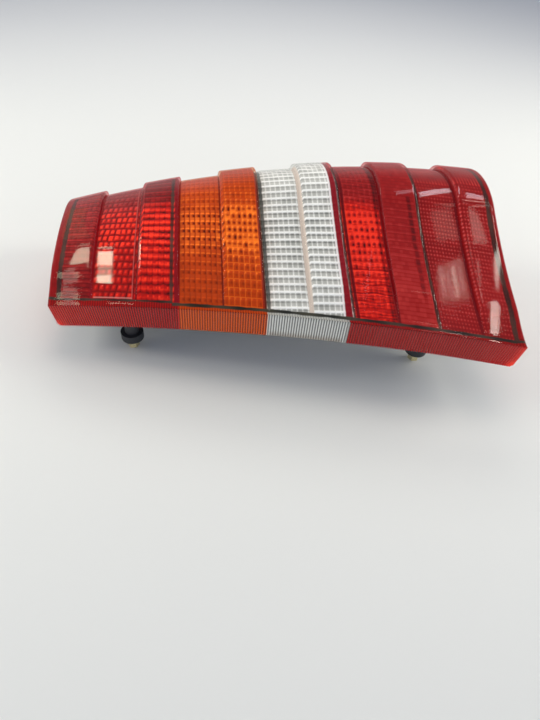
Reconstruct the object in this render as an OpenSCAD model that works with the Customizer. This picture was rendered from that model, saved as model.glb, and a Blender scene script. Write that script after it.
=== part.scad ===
// Rear tail light cluster of an estate car, lying on its mounting studs with the lens up.
// X runs along the lamp from its narrow end to its wide end, the fluted skirt faces -Y,
// and Z = 0 is the plane of the stud ends.

/* [Lens outline] */
// Length of the lens between its end faces
length = 418; // [400:1:440]
// Height of the fluted skirt, from its lower edge to the edge of the face
skirt_h = 25; // [22:0.5:28]
// Sideways run of the skirt over the length, which makes the lamp wider at one end
skirt_slant = 85; // [60:1:100]
// Radius of the lengthwise bow of the whole lamp
bow_radius = 1830; // [1500:10:2600]
// Distance of the bow's highest point from the narrow end
bow_apex = 300; // [250:1:330]
// Height of the skirt's lower edge over the stud ends, at the bow's highest point
skirt_clear = 53; // [50:0.5:60]
// Inward lean of the end faces below the face edge
end_lean = 5; // [3:0.5:6]

/* [Lens face] */
// Slope of the face beside the skirt at the narrow end, degrees
slope_start_narrow = 22; // [18:1:26]
// Slope of the face beside the skirt at the wide end, degrees
slope_start_wide = 14; // [11:1:18]
// Slope where the face meets the wrap at the narrow end, degrees
slope_end_narrow = -3; // [-6:1:2]
// Slope where the face meets the wrap at the wide end, degrees
slope_end_wide = 30; // [26:1:33]
// Extra slope at mid-length, degrees
slope_end_crown = 5.5; // [3:0.5:8]
// Width of the face at the narrow end, along its surface
face_narrow = 128; // [120:1:140]
// Width of the face at the wide end, along its surface
face_wide = 143; // [135:1:155]
// Radius of the wrap round to the car's side
wrap_r = 75; // [60:1:85]
// Radius of the far corner at the narrow end
corner_narrow = 10; // [6:0.5:12]
// Radius of the far corner at the wide end
corner_wide = 28; // [20:1:34]
// Wall of the lens
lens_wall = 2.6; // [2:0.1:3]

/* [Bands and flutes] */
// Height of the raised bands over the sunk ones
band_step = 4.5; // [3:0.25:6]
// Width that the bands lose from the first to the last
band_taper = 4.4; // [0:0.2:8]
// Width of the rounded edge of a raised band
band_edge = 2.2; // [1.5:0.1:3]
// Smooth margin of the face beside the skirt
face_margin = 7; // [6:0.5:9]
// Run over which the bands rise out of the margin
band_rise = 34; // [20:1:45]
// Number of flutes on the skirt
flutes = 187; // [121:1:220]
// Depth of the grooves between the flutes
flute_depth = 0.6; // [0.3:0.05:0.9]

/* [Housing] */
// Thickness of the housing floor
floor_t = 3; // [2.5:0.5:4]
// Thickness of the housing walls and partitions
wall_t = 2.4; // [2:0.1:3]
// Distance of the housing wall behind the skirt, at the stop lamp
inset_upper = 7; // [6.5:0.5:9]
// Distance of the housing wall behind the skirt, past the stop lamp
inset_lower = 5; // [5:0.5:8]
// Distance of the housing's end walls from the lens ends
end_inset = 8; // [8:0.5:12]
// Clearance between parts that fit together
fit_gap = 0.3; // [0.2:0.05:0.4]
// Thickness of the bead between housing and lens
bead_t = 1.2; // [0.9:0.1:1.5]
// Side overhang of the bead over the wall under it
bead_lip = 0.5; // [0.3:0.1:0.8]

/* [Fixings] */
// Distance of the upper studs from the narrow end
stud_from_narrow = 71.5; // [65:0.5:80]
// Distance of the lower studs from the wide end
stud_from_wide = 67; // [60:0.5:75]
// Distances of the studs behind the skirt: near upper, near lower, far lower, far upper
stud_back = [16, 47.4, 156.9, 124];
// Thread diameter of the studs
stud_d = 6; // [5:1:6]
// Length of stud that stands out of its nut, turned down to a pilot
stud_proud = 2; // [2:0.5:4]
// Diameter of the pilot
pilot_d = 5; // [4:0.5:5]
// Height of a stud nut, collar included
nut_h = 10.5; // [9:0.5:11]
// Width of a stud nut across its flats
nut_af = 10; // [9:1:11]
// Diameter of the nut's collar
collar_d = 12.5; // [12:0.5:14]
// Height of the nut's collar
collar_h = 3; // [2:0.5:4]
// Diameter of the rubber ring on a stud
ring_d = 21.5; // [19:0.5:23]
// Thickness of the rubber ring
ring_t = 8; // [6:0.5:9]
// Diameter of the stud bosses
boss_d = 13; // [12:0.5:15]
// Diameter of a stud's head
stud_head_d = 10; // [9:0.5:11]
// Thickness of a stud's head
stud_head_t = 2; // [1.5:0.5:3]
// Diameter of the carrier screws' shank
screw_d = 3.2; // [3:0.1:3.5]
// Diameter of the carrier screws' head
screw_head_d = 7.5; // [7:0.5:8]

/* [Bulbs and carrier] */
// Distance of the bulb line behind the skirt
bulb_line = 85; // [75:1:92]
// Diameter of a bulb's glass
glass_d = 25; // [22:0.5:26]
// Diameter of a bulb's brass cap
cap_d = 15; // [14:0.5:15.5]
// Height of a bulb's brass cap
cap_h = 17; // [15:0.5:19]
// Wall of a bulb socket
socket_wall = 2.2; // [1.8:0.1:2.6]
// Depth of a bulb socket under the carrier
socket_drop = 9; // [8:0.5:11]
// Thickness of the bulb carrier
carrier_t = 2.5; // [2:0.25:3.5]
// Thickness of the carrier's rubber seal
seal_t = 1.5; // [1:0.25:2]
// Half width of the carrier
carrier_half = 31; // [30:1:34]
// Reach of the carrier past the first bulb
carrier_over_narrow = 29; // [28:0.5:32]
// Reach of the carrier past the last bulb
carrier_over_wide = 34; // [32:0.5:38]
// Clearance between a reflector's rim and the partitions
reflector_gap = 1.5; // [1:0.25:4]
// Height of a reflector
reflector_h = 24; // [18:0.5:26]
// Thickness of a reflector
reflector_t = 1.2; // [1:0.1:1.6]
// Thickness of the stamped strips
strip_t = 0.8; // [0.6:0.1:1]

/* [Hidden] */

$fn = 48;
bands = 11;
face_steps = 11;
wrap_steps = 5;
corner_steps = 4;
wrap_end = -32;
far_slope = -85;

// Colour joints of the moulding, and the raised band that the clear part ends in
joint_lap = 5;
joint_amber = band_x(3);
joint_clear = band_x(5);
joint_lower = band_x(7) - joint_lap;

// Partitions of the housing: low side of each, along X
partition_off = 0.4;
partitions = [
    band_x(3) - joint_lap - wall_t,
    band_x(5) + partition_off,
    band_x(7) + partition_off,
    band_x(9) + partition_off
];

// Middle of each bulb's chamber, along X
bulb_x = [
    (end_inset + partitions[0]) / 2,
    (partitions[0] + partitions[1] + wall_t) / 2,
    (partitions[1] + partitions[2] + wall_t) / 2,
    (partitions[2] + partitions[3] + wall_t) / 2
];

// Studs, as [distance from the narrow end, distance behind the middle of the skirt line]
stud_places = [
    [stud_from_narrow, near_y(stud_from_narrow) + stud_back[0]],
    [length - stud_from_wide, near_y(length - stud_from_wide) + stud_back[1]],
    [length - stud_from_wide, near_y(length - stud_from_wide) + stud_back[2]],
    [stud_from_narrow, near_y(stud_from_narrow) + stud_back[3]]
];

// Heights of the stack on each stud
nut_z = stud_proud;
ring_z = nut_z + nut_h;
boss_z = ring_z + ring_t;

// Radius of a reflector's rim, from the narrowest chamber
chamber_half = (min([for (i = [0 : 2]) partitions[i + 1] - partitions[i]]) - wall_t) / 2;
reflector_r = chamber_half - reflector_t - reflector_gap;

// Bulb carrier: its ends, and the screws near its corners
carrier_x = [bulb_x[0] - carrier_over_narrow, bulb_x[3] + carrier_over_wide];
carrier_corner = 8;
screw_inset = 9;

// Middle of the plug connector, along X, and its size
connector_x = (bulb_x[1] + bulb_x[2]) / 2;
connector_size = [34, 18, 18];
connector_wall = 1.6;
pin_count = 5;
pin_pitch = 5.6;
pin_size = [0.8, 3, 8];

// Basic curves of the lamp. Positions along the lamp are called x from here on.
function share(x) = x / length;
function blend(a, b, x) = a + (b - a) * share(x);
function band_x(i) =
    i * length / bands + band_taper * (i / 2 - i * (i - 1) / (2 * (bands - 1)));
function near_y(x) = skirt_slant * (0.5 - share(x));
function bow_sag(x) = bow_radius - sqrt(pow(bow_radius, 2) - pow(x - bow_apex, 2));
function low_z(x) = skirt_clear - bow_sag(x);
function edge_z(x) = low_z(x) + skirt_h;
function bow_slope(x) = (bow_apex - x) / bow_radius;

// Slopes and width of the face at x
function start_slope(x) = blend(slope_start_narrow, slope_start_wide, x);
function end_slope(x) =
    blend(slope_end_narrow, slope_end_wide, x)
    + slope_end_crown * 4 * share(x) * (1 - share(x));
function face_w(x) = blend(face_narrow, face_wide, x);
function face_bend(x) = (end_slope(x) - start_slope(x)) * PI / 180 / face_w(x);

// Point of the face at a distance d from its edge, as [across, up, slope]
function face_point(x, d) =
    let (
        s = start_slope(x),
        h = s + (end_slope(x) - s) * d / face_w(x),
        k = face_bend(x)
    )
    abs(k) < 0.000001
    ? [d * cos(s), d * sin(s), h]
    : [(sin(h) - sin(s)) / k, (cos(s) - cos(h)) / k, h];

// Point after turning from p to the slope h on a radius r
function turned(p, h, r) =
    [p[0] + r * (sin(p[2]) - sin(h)), p[1] + r * (cos(h) - cos(p[2])), h];

function ease(t) = t <= 0 ? 0 : t >= 1 ? 1 : t * t * (3 - 2 * t);

// Cross-section at x, from the skirt's lower edge over the face to the far lower edge.
// Each point is [across, up, slope, share of the band step].
function section(x) =
    let (
        wrap_from = face_point(x, face_w(x)),
        corner_from = turned(wrap_from, wrap_end, wrap_r),
        corner_room = (corner_from[1] - 1) / (cos(wrap_end) - cos(far_slope)),
        corner_r = min(blend(corner_narrow, corner_wide, x), corner_room),
        corner_to = turned(corner_from, far_slope, corner_r),
        far = corner_to[0] - corner_to[1] / tan(far_slope)
    )
    concat(
        [[0, -skirt_h, 90, 0], [0, 0, 90, 0]],
        [for (k = [0 : face_steps])
            let (d = face_margin + (face_w(x) - face_margin) * k / face_steps)
            concat(face_point(x, d), ease((d - face_margin) / band_rise))],
        [for (k = [1 : wrap_steps])
            let (h = wrap_from[2] + (wrap_end - wrap_from[2]) * k / wrap_steps)
            concat(turned(wrap_from, h, wrap_r), 1)],
        [for (k = [1 : corner_steps])
            let (h = wrap_end + (far_slope - wrap_end) * k / corner_steps)
            concat(turned(corner_from, h, corner_r), 1 - 0.6 * k / corner_steps)],
        [[far, 0, far_slope, 0], [far - skirt_h / tan(far_slope), -skirt_h, far_slope, 0]]
    );

section_points = len(section(0));
last_point = section_points - 1;

// Point j of the section at x, moved inwards by e and outwards by the band's share w
function skin_point(x, s, j, e, w) =
    let (
        p = s[j],
        h0 = start_slope(x),
        inward = e - w * band_step * p[3],
        drop = e / cos(h0) - e * tan(h0),
        far_in = e / sin(-far_slope)
    )
    j == 0 ? [x, near_y(x) + e, low_z(x)]
    : j == 1 ? [x, near_y(x) + e, edge_z(x) - drop]
    : j == last_point - 1
    ? [x, near_y(x) + p[0] - far_in + drop / tan(-far_slope), edge_z(x) - drop]
    : j == last_point ? [x, near_y(x) + p[0] - far_in, low_z(x)]
    : [
        x,
        near_y(x) + p[0] + inward * sin(p[2]),
        edge_z(x) + p[1] - inward * cos(p[2])
    ];

// Share of the band step at x on the outside and the inside of the lens
function is_raised(i) = i % 2 == 0;
outer_steps = [for (i = [0 : bands - 1]) if (is_raised(i)) each [
    [band_x(i), 0],
    [band_x(i) + band_edge / 4, 0.6],
    [band_x(i) + band_edge, 1],
    [band_x(i + 1) - band_edge, 1],
    [band_x(i + 1) - band_edge / 4, 0.6],
    [band_x(i + 1), 0]
]];
inner_foot = 0.8;
inner_edge = lens_wall + 1.2;
inner_steps = [for (i = [0 : bands - 1]) if (is_raised(i)) each [
    [band_x(i) + inner_foot, 0],
    [band_x(i) + inner_edge, 1],
    [band_x(i + 1) - inner_edge, 1],
    [band_x(i + 1) - inner_foot, 0]
]];
band_ends = [for (i = [0 : bands]) band_x(i)];

// Stations along the lamp between a and b, with both ends
function stations(list, a, b) =
    concat([a], [for (x = list) if (x > a + 0.1 && x < b - 0.1) x], [b]);
function first_of(list) = [for (v = list) v[0]];

// Rows of points run along the lamp. A row is made for each point of the section.
function outer_row(xs, j) =
    [for (x = xs) skin_point(x, section(x), j, 0, lookup(x, outer_steps))];
function inner_row(xs, j, e, banded) =
    [for (x = xs) skin_point(x, section(x), j, e, banded ? lookup(x, inner_steps) : 0)];

// Fluted rows: every second point lies in a groove
flute_pitch = length / flutes;
flute_margin = 1;
function fluted_row(a, b, up) =
    let (
        first = floor(2 * a / flute_pitch + flute_margin) + 1,
        last = ceil(2 * b / flute_pitch - flute_margin) - 1,
        marks = [for (k = [first : last]) [k * flute_pitch / 2, k % 2]],
        all_marks = concat([[a, 0]], marks, [[b, 0]])
    )
    [for (m = all_marks)
        [m[0], near_y(m[0]) + m[1] * flute_depth, up ? edge_z(m[0]) : low_z(m[0])]];

// Triangles between two rows, taking the nearer next point each time
function takes_first(a, b, i, j) =
    j >= len(b) - 1 ? 1
    : i >= len(a) - 1 ? 0
    : a[i][0] + a[i + 1][0] <= b[j][0] + b[j + 1][0] ? 1 : 0;
function zipped(a, at_a, b, at_b) =
    [for (i = 0, j = 0; i + j < len(a) + len(b) - 2;
          t = takes_first(a, b, i, j), i = i + t, j = j + 1 - t)
        takes_first(a, b, i, j) == 1
        ? [at_a + i, at_b + j, at_a + i + 1]
        : [at_a + i, at_b + j, at_b + j + 1]];
function row_starts(rows) =
    [for (i = 0, s = 0; i < len(rows); s = s + len(rows[i]), i = i + 1) s];
function tube_faces(rows, starts) =
    [for (k = [0 : len(rows) - 1])
        let (n = (k + 1) % len(rows))
        each zipped(rows[k], starts[k], rows[n], starts[n])];
function reversed(v) = [for (i = [len(v) - 1 : -1 : 0]) v[i]];

// One colour of the moulded lens, from a to b. A closed end gets an end wall.
module lens_part(a, b, closed_a, closed_b) {
    low_a = closed_a ? a + end_lean : a;
    low_b = closed_b ? b - end_lean : b;
    in_a = closed_a ? a + lens_wall : a;
    in_b = closed_b ? b - lens_wall : b;
    in_low_a = closed_a ? low_a + lens_wall : a;
    in_low_b = closed_b ? low_b - lens_wall : b;
    out_xs = stations(first_of(outer_steps), a, b);
    out_low = stations(first_of(outer_steps), low_a, low_b);
    in_xs = stations(first_of(inner_steps), in_a, in_b);
    in_low = stations(first_of(inner_steps), in_low_a, in_low_b);
    rows = concat(
        [fluted_row(low_a, low_b, false), fluted_row(a, b, true)],
        [for (j = [2 : last_point - 1]) outer_row(out_xs, j)],
        [outer_row(out_low, last_point)],
        [inner_row(in_low, last_point, lens_wall, true)],
        [for (j = [last_point - 1 : -1 : 1]) inner_row(in_xs, j, lens_wall, true)],
        [inner_row(in_low, 0, lens_wall, true)]
    );
    starts = row_starts(rows);
    count = len(rows);
    m = last_point;
    at_a = starts;
    at_b = [for (k = [0 : count - 1]) starts[k] + len(rows[k]) - 1];
    points = [for (r = rows) each r];
    polyhedron(
        points,
        concat(
            tube_faces(rows, starts),
            closed_a ? closed_end(at_a, m, count) : joint_end(at_a, m, count),
            [for (f = closed_b ? closed_end(at_b, m, count) : joint_end(at_b, m, count))
                reversed(f)]
        )
    );
}

// Joint to the next colour: a strip of quads between the outer and the inner skin
function joint_end(at, m, count) =
    [for (k = [0 : m - 1]) [at[count - 1 - k], at[count - 2 - k], at[k + 1], at[k]]];

// End wall: outer face and its leaning foot, inner face and foot, and the lower rim
function closed_end(at, m, count) = [
    reversed([for (k = [1 : m - 1]) at[k]]),
    [at[m], at[m - 1], at[1], at[0]],
    reversed([for (k = [m + 2 : count - 2]) at[k]]),
    [at[m + 1], at[count - 1], at[count - 2], at[m + 2]],
    [at[0], at[count - 1], at[m + 1], at[m]]
];

// Solid under the lens's inner face, set back from it by gap
module under_lens(gap) {
    xs = stations(band_ends, lens_wall + gap, length - lens_wall - gap);
    rows = [for (j = [0 : last_point]) inner_row(xs, j, lens_wall + gap, false)];
    starts = row_starts(rows);
    ends = [for (k = [0 : last_point]) starts[k] + len(rows[k]) - 1];
    polyhedron(
        [for (r = rows) each r],
        concat(tube_faces(rows, starts), [reversed(starts)], [ends])
    );
}

// Skin between two set-backs from the lens's inner face. Its top follows the bands.
module skin_between(top_gap, low_gap, a, b, from, to) {
    xs = stations(first_of(inner_steps), a, b);
    rows = concat(
        [for (j = [to : -1 : from]) inner_row(xs, j, lens_wall + top_gap, true)],
        [for (j = [from : to]) inner_row(xs, j, lens_wall + low_gap, false)]
    );
    starts = row_starts(rows);
    ends = [for (k = [0 : len(rows) - 1]) starts[k] + len(rows[k]) - 1];
    faces = concat(tube_faces(rows, starts), [reversed(starts)], [ends]);
    polyhedron([for (r = rows) each r], [for (f = faces) reversed(f)]);
}

// Far side of the section at x, at the height of the face edge and at the foot
function far_y(x) = near_y(x) + section(x)[last_point - 1][0];
function far_foot_y(x) = near_y(x) + section(x)[last_point][0];
far_ys = [for (x = band_ends) far_foot_y(x)];
lens_far_y = max(far_ys);
origin_shift = [-length / 2, -(near_y(length) + lens_far_y) / 2, 0];

// Plan outlines of the housing. set_in moves the outline inwards.
wall_back = lens_wall + bead_t + fit_gap;
plan_xs = [for (i = [1 : bands - 1]) band_x(i)];
wide_wall_x = length - end_inset;
function plan(set_in) = concat(
    [
        [end_inset + set_in, near_y(end_inset) + inset_upper + set_in],
        [partitions[0] + set_in, near_y(partitions[0]) + inset_upper + set_in],
        [partitions[0] + set_in, near_y(partitions[0]) + inset_lower + set_in],
        [wide_wall_x - set_in, near_y(wide_wall_x) + inset_lower + set_in],
        [wide_wall_x - set_in, far_y(wide_wall_x) - wall_back - set_in]
    ],
    [for (x = reversed(plan_xs)) [x, far_y(x) - wall_back - set_in]],
    [[end_inset + set_in, far_y(end_inset) - wall_back - set_in]]
);
top_z = skirt_clear + skirt_h + 110;

module wall_prism(thick, lip) {
    linear_extrude(top_z)
        difference() {
            polygon(plan(-lip));
            polygon(plan(thick + lip));
        }
}

module partition_prism(x, thick) {
    low = near_y(x) + inset_lower + wall_t / 2;
    translate([x, low, 0])
        cube([thick, far_y(x) - wall_back - wall_t / 2 - low, top_z]);
}

module walls_and_partitions(thick, lip) {
    wall_prism(thick, lip);
    for (x = partitions)
        partition_prism(x - lip, thick + 2 * lip);
}

// Slab that follows the bow, from low to high over the skirt's lower edge, between a and b
module bow_slab(low, high, a, b) {
    xs = stations(band_ends, a, b);
    wide = 600;
    translate([0, wide / 2, 0])
        rotate([90, 0, 0])
            linear_extrude(wide)
                polygon(concat(
                    [for (x = xs) [x, low_z(x) + low]],
                    [for (x = reversed(xs)) [x, low_z(x) + high]]
                ));
}

// Point on the bulb line at x, moved sideways by side
function lane(x, side) = [x, near_y(x) + bulb_line + side];

function floor_plan() =
    let (
        a = end_lean + lens_wall + fit_gap,
        b = length - a,
        near = lens_wall + fit_gap + flute_depth,
        far = lens_wall + fit_gap + 0.2
    )
    concat(
        [[a, near_y(a) + near], [b, near_y(b) + near], [b, far_foot_y(b) - far]],
        [for (x = reversed(plan_xs)) [x, far_foot_y(x) - far]],
        [[a, far_foot_y(a) - far]]
    );

// Plan of the carrier and its seal: a long plate along the bulb line, with cut corners
function carrier_plan(shrink) =
    let (
        a = carrier_x[0] + shrink,
        b = carrier_x[1] - shrink,
        h = carrier_half - shrink,
        c = carrier_corner
    )
    [
        lane(a + c, -h), lane(b - c, -h), lane(b, -h + c), lane(b, h - c),
        lane(b - c, h), lane(a + c, h), lane(a, h - c), lane(a, -h + c)
    ];

module at_bulb(i) {
    p = lane(bulb_x[i], 0);
    translate([p[0], p[1], low_z(bulb_x[i])])
        children();
}

module at_screws() {
    for (x = [carrier_x[0] + screw_inset, carrier_x[1] - screw_inset])
        for (side = [-carrier_half + screw_inset, carrier_half - screw_inset]) {
            p = lane(x, side);
            translate([p[0], p[1], low_z(x)])
                children();
        }
}

module at_studs() {
    for (p = stud_places)
        translate([p[0], p[1], 0])
            children();
}

socket_r = cap_d / 2 + 0.2 + socket_wall;
floor_hole_r = socket_r + 6;

module lamp_frame() {
    translate(origin_shift)
        children();
}

// Lens

module lens_red_upper() {
    color([0.62, 0.05, 0.05])
        lamp_frame()
            lens_part(0, joint_amber, true, false);
}

module lens_amber() {
    color([0.85, 0.38, 0.04])
        lamp_frame()
            lens_part(joint_amber, joint_clear, false, false);
}

module lens_clear() {
    color([0.88, 0.87, 0.84])
        lamp_frame()
            lens_part(joint_clear, joint_lower, false, false);
}

module lens_red_lower() {
    color([0.66, 0.05, 0.05])
        lamp_frame()
            lens_part(joint_lower, length, false, true);
}

reflex_gap = 2.6;
reflex_t = 2;

module reflex_plate() {
    a = partitions[3] + wall_t + bead_lip + fit_gap;
    b = wide_wall_x - wall_t - bead_lip - fit_gap;
    color([0.5, 0.04, 0.05])
        lamp_frame()
            skin_between(reflex_gap, reflex_gap + reflex_t, a, b, 4, section_points - 9);
}

module seal_bead() {
    color([0.06, 0.06, 0.07])
        lamp_frame()
            intersection() {
                walls_and_partitions(wall_t, bead_lip);
                skin_between(
                    fit_gap, bead_t, lens_wall + 1, length - lens_wall - 1,
                    1, last_point - 2
                );
            }
}

// Housing

stud_bore_r = stud_d / 2 + 0.05;
pad_h = floor_t + 1.5;
cup_h = pad_h + stud_head_t;

module housing() {
    color([0.2, 0.2, 0.22])
        lamp_frame()
            difference() {
                union() {
                    intersection() {
                        walls_and_partitions(wall_t, 0);
                        under_lens(bead_t + fit_gap);
                        bow_slab(floor_t / 2, 150, 0, length);
                    }
                    intersection() {
                        bow_slab(0, floor_t, 0, length);
                        linear_extrude(top_z)
                            polygon(floor_plan());
                    }
                    for (p = stud_places)
                        translate([p[0], p[1], boss_z])
                            cylinder(h = low_z(p[0]) + cup_h - boss_z, d = boss_d);
                    at_screws()
                        translate([0, 0, floor_t / 2])
                            cylinder(h = screw_boss_h, d = screw_d + 5);
                }
                for (i = [0 : 3])
                    at_bulb(i)
                        translate([0, 0, -20])
                            cylinder(h = 40, r = floor_hole_r);
                for (p = stud_places)
                    translate([p[0], p[1], low_z(p[0]) + pad_h])
                        cylinder(h = cup_h - pad_h + 0.2, r = stud_head_d / 2 + 0.1);
                for (p = stud_places)
                    translate([p[0], p[1], 0])
                        cylinder(h = low_z(p[0]) + pad_h + 0.1, r = stud_bore_r);
                at_screws()
                    translate([0, 0, -10])
                        cylinder(h = 10 + screw_boss_h, d = screw_d + 0.1);
            }
}

screw_boss_h = 9;

// Reflector bowl that stands on the floor round a bulb
module reflector(i) {
    foot_r = floor_hole_r + 1;
    foot_z = floor_t + abs(bow_slope(bulb_x[i])) * (foot_r + reflector_t) + 0.1;
    steps = 8;
    rise = reflector_h;
    inside = [for (k = [0 : steps])
        let (t = k / steps)
        [foot_r + (reflector_r - foot_r) * sqrt(t), foot_z + 2 + (rise - 2) * t]];
    outside = [for (p = reversed(inside)) [p[0] + reflector_t, p[1]]];
    color([0.8, 0.8, 0.82])
        lamp_frame()
            at_bulb(i)
                rotate_extrude()
                    polygon(concat(
                        [[foot_r, foot_z]],
                        inside,
                        outside,
                        [[foot_r + reflector_t, foot_z]]
                    ));
}

module reflector_stop() { reflector(0); }
module reflector_turn() { reflector(1); }
module reflector_reverse() { reflector(2); }
module reflector_tail() { reflector(3); }

// Bulb carrier with its sockets

carrier_top = -seal_t;
carrier_low = carrier_top - carrier_t;
socket_low = carrier_low - socket_drop;
socket_top = 6;
socket_base = 2;
pad_low = carrier_low - 2;
slot_w = 2.6;
bayonet_z = socket_top - 3;

module bulb_carrier() {
    color([0.78, 0.78, 0.76])
        lamp_frame()
            difference() {
                union() {
                    intersection() {
                        bow_slab(carrier_low, carrier_top, 0, length);
                        linear_extrude(top_z)
                            polygon(carrier_plan(0));
                    }
                    for (i = [0 : 3])
                        at_bulb(i)
                            translate([0, 0, socket_low])
                                cylinder(h = socket_top - socket_low, r = socket_r);
                    at_screws()
                        translate([0, 0, pad_low])
                            cylinder(h = carrier_t, d = screw_head_d + 2);
                }
                for (i = [0 : 3])
                    at_bulb(i) {
                        translate([0, 0, socket_low + socket_base])
                            cylinder(h = 60, d = cap_d + 0.4);
                        translate([-socket_r - 1, -slot_w / 2, bayonet_z - slot_w / 2])
                            cube([2 * socket_r + 2, slot_w, 20]);
                    }
                at_screws()
                    translate([0, 0, -30])
                        cylinder(h = 60, d = screw_d + 0.4);
            }
}

module carrier_seal() {
    color([0.1, 0.1, 0.1])
        lamp_frame()
            difference() {
                intersection() {
                    bow_slab(carrier_top, 0, 0, length);
                    linear_extrude(top_z)
                        polygon(carrier_plan(1));
                }
                for (i = [0 : 3])
                    at_bulb(i)
                        translate([0, 0, -20])
                            cylinder(h = 40, r = floor_hole_r);
                at_screws()
                    translate([0, 0, -20])
                        cylinder(h = 40, d = screw_d + 0.6);
            }
}

module carrier_screws() {
    head_h = 2.4;
    color([0.75, 0.72, 0.6])
        lamp_frame()
            at_screws() {
                translate([0, 0, pad_low - head_h])
                    cylinder(h = head_h, d = screw_head_d);
                translate([0, 0, pad_low - head_h / 2])
                    cylinder(h = screw_boss_h - 1.5 - pad_low + head_h / 2, d = screw_d);
            }
}

// Bulbs

cap_low = socket_low + socket_base;

module bulb_cap(i) {
    color([0.72, 0.6, 0.3])
        lamp_frame()
            at_bulb(i) {
                translate([0, 0, cap_low])
                    cylinder(h = cap_h, d = cap_d);
                translate([-socket_r, 0, bayonet_z])
                    rotate([0, 90, 0])
                        cylinder(h = 2 * socket_r, d = 2);
            }
}

module bulb_glass(i) {
    neck_d = cap_d - 1.6;
    ball_z = cap_low + cap_h + glass_d / 2 + 2;
    color([0.85, 0.87, 0.88])
        lamp_frame()
            at_bulb(i) {
                translate([0, 0, cap_low + cap_h])
                    cylinder(h = glass_d / 2, d = neck_d);
                translate([0, 0, ball_z])
                    sphere(d = glass_d);
            }
}

module bulb_stop_cap() { bulb_cap(0); }
module bulb_turn_cap() { bulb_cap(1); }
module bulb_reverse_cap() { bulb_cap(2); }
module bulb_tail_cap() { bulb_cap(3); }
module bulb_stop_glass() { bulb_glass(0); }
module bulb_turn_glass() { bulb_glass(1); }
module bulb_reverse_glass() { bulb_glass(2); }
module bulb_tail_glass() { bulb_glass(3); }

// Stamped strips under the carrier

module strip(a, b, side, wide) {
    color([0.7, 0.62, 0.4])
        lamp_frame()
            intersection() {
                bow_slab(carrier_low - strip_t, carrier_low, 0, length);
                linear_extrude(top_z)
                    polygon([
                        lane(a, side - wide / 2), lane(b, side - wide / 2),
                        lane(b, side + wide / 2), lane(a, side + wide / 2)
                    ]);
            }
}

strip_gap = socket_r + 0.3;
feed_w = 3;
earth_w = 5;

module earth_strip() {
    strip(bulb_x[0] - 6, bulb_x[3] + 6, -strip_gap - earth_w / 2, earth_w);
}

module feed_strip_stop() {
    strip(bulb_x[0], connector_x - 2, strip_gap + feed_w / 2, feed_w);
}

module feed_strip_turn() {
    strip(bulb_x[1] + socket_r + 0.5, connector_x - 2, 0, feed_w);
}

module feed_strip_reverse() {
    strip(connector_x + 2, bulb_x[2] - socket_r - 0.5, 0, feed_w);
}

module feed_strip_tail() {
    strip(connector_x + 2, bulb_x[3], strip_gap + feed_w / 2, feed_w);
}

// Plug connector under the carrier, open downwards

connector_top = carrier_low - strip_t - fit_gap;

module at_connector() {
    p = lane(connector_x, 0);
    slope_drop = abs(bow_slope(connector_x)) * connector_size[0] / 2;
    translate([p[0], p[1], low_z(connector_x) + connector_top - slope_drop])
        children();
}

module connector_shell() {
    s = connector_size;
    w = connector_wall;
    color([0.15, 0.15, 0.16])
        lamp_frame()
            at_connector()
                difference() {
                    translate([-s[0] / 2, -s[1] / 2, -s[2]])
                        cube(s);
                    translate([-s[0] / 2 + w, -s[1] / 2 + w, -s[2] - 1])
                        cube([s[0] - 2 * w, s[1] - 2 * w, s[2] - w + 1]);
                }
}

module connector_pins() {
    color([0.8, 0.75, 0.5])
        lamp_frame()
            at_connector()
                for (k = [0 : pin_count - 1])
                    translate([
                        (k - (pin_count - 1) / 2) * pin_pitch - pin_size[0] / 2,
                        -pin_size[1] / 2,
                        -connector_wall - pin_size[2]
                    ])
                        cube(pin_size);
}

// Studs with their rings and nuts

module studs() {
    color([0.72, 0.7, 0.62])
        lamp_frame()
            for (p = stud_places)
                translate([p[0], p[1], 0]) {
                    cylinder(h = stud_proud + 1, d = pilot_d);
                    translate([0, 0, stud_proud])
                        cylinder(h = low_z(p[0]) + pad_h + 0.5 - stud_proud, d = stud_d);
                    translate([0, 0, low_z(p[0]) + pad_h])
                        cylinder(h = stud_head_t, d = stud_head_d);
                }
}

module stud_rings() {
    color([0.09, 0.09, 0.11])
        lamp_frame()
            at_studs()
                translate([0, 0, ring_z])
                    difference() {
                        cylinder(h = ring_t, d = ring_d);
                        translate([0, 0, -1])
                            cylinder(h = ring_t + 2, r = stud_bore_r);
                    }
}

module stud_nuts() {
    color([0.8, 0.75, 0.48])
        lamp_frame()
            at_studs()
                translate([0, 0, nut_z])
                    difference() {
                        union() {
                            cylinder(h = nut_h - collar_h / 2, d = nut_af / cos(30), $fn = 6);
                            translate([0, 0, nut_h - collar_h])
                                cylinder(h = collar_h, d = collar_d);
                        }
                        translate([0, 0, -1])
                            cylinder(h = nut_h + 2, r = stud_bore_r);
                    }
}

lens_red_upper();
lens_amber();
lens_clear();
lens_red_lower();
reflex_plate();
seal_bead();
housing();
reflector_stop();
reflector_turn();
reflector_reverse();
reflector_tail();
bulb_carrier();
carrier_seal();
carrier_screws();
bulb_stop_cap();
bulb_turn_cap();
bulb_reverse_cap();
bulb_tail_cap();
bulb_stop_glass();
bulb_turn_glass();
bulb_reverse_glass();
bulb_tail_glass();
earth_strip();
feed_strip_stop();
feed_strip_turn();
feed_strip_reverse();
feed_strip_tail();
connector_shell();
connector_pins();
studs();
stud_rings();
stud_nuts();
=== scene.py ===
"""Rear tail light cluster of an estate car, lying on its studs on a pale table."""
import math

import bpy
import numpy as np
from mathutils import Matrix, Vector


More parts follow.
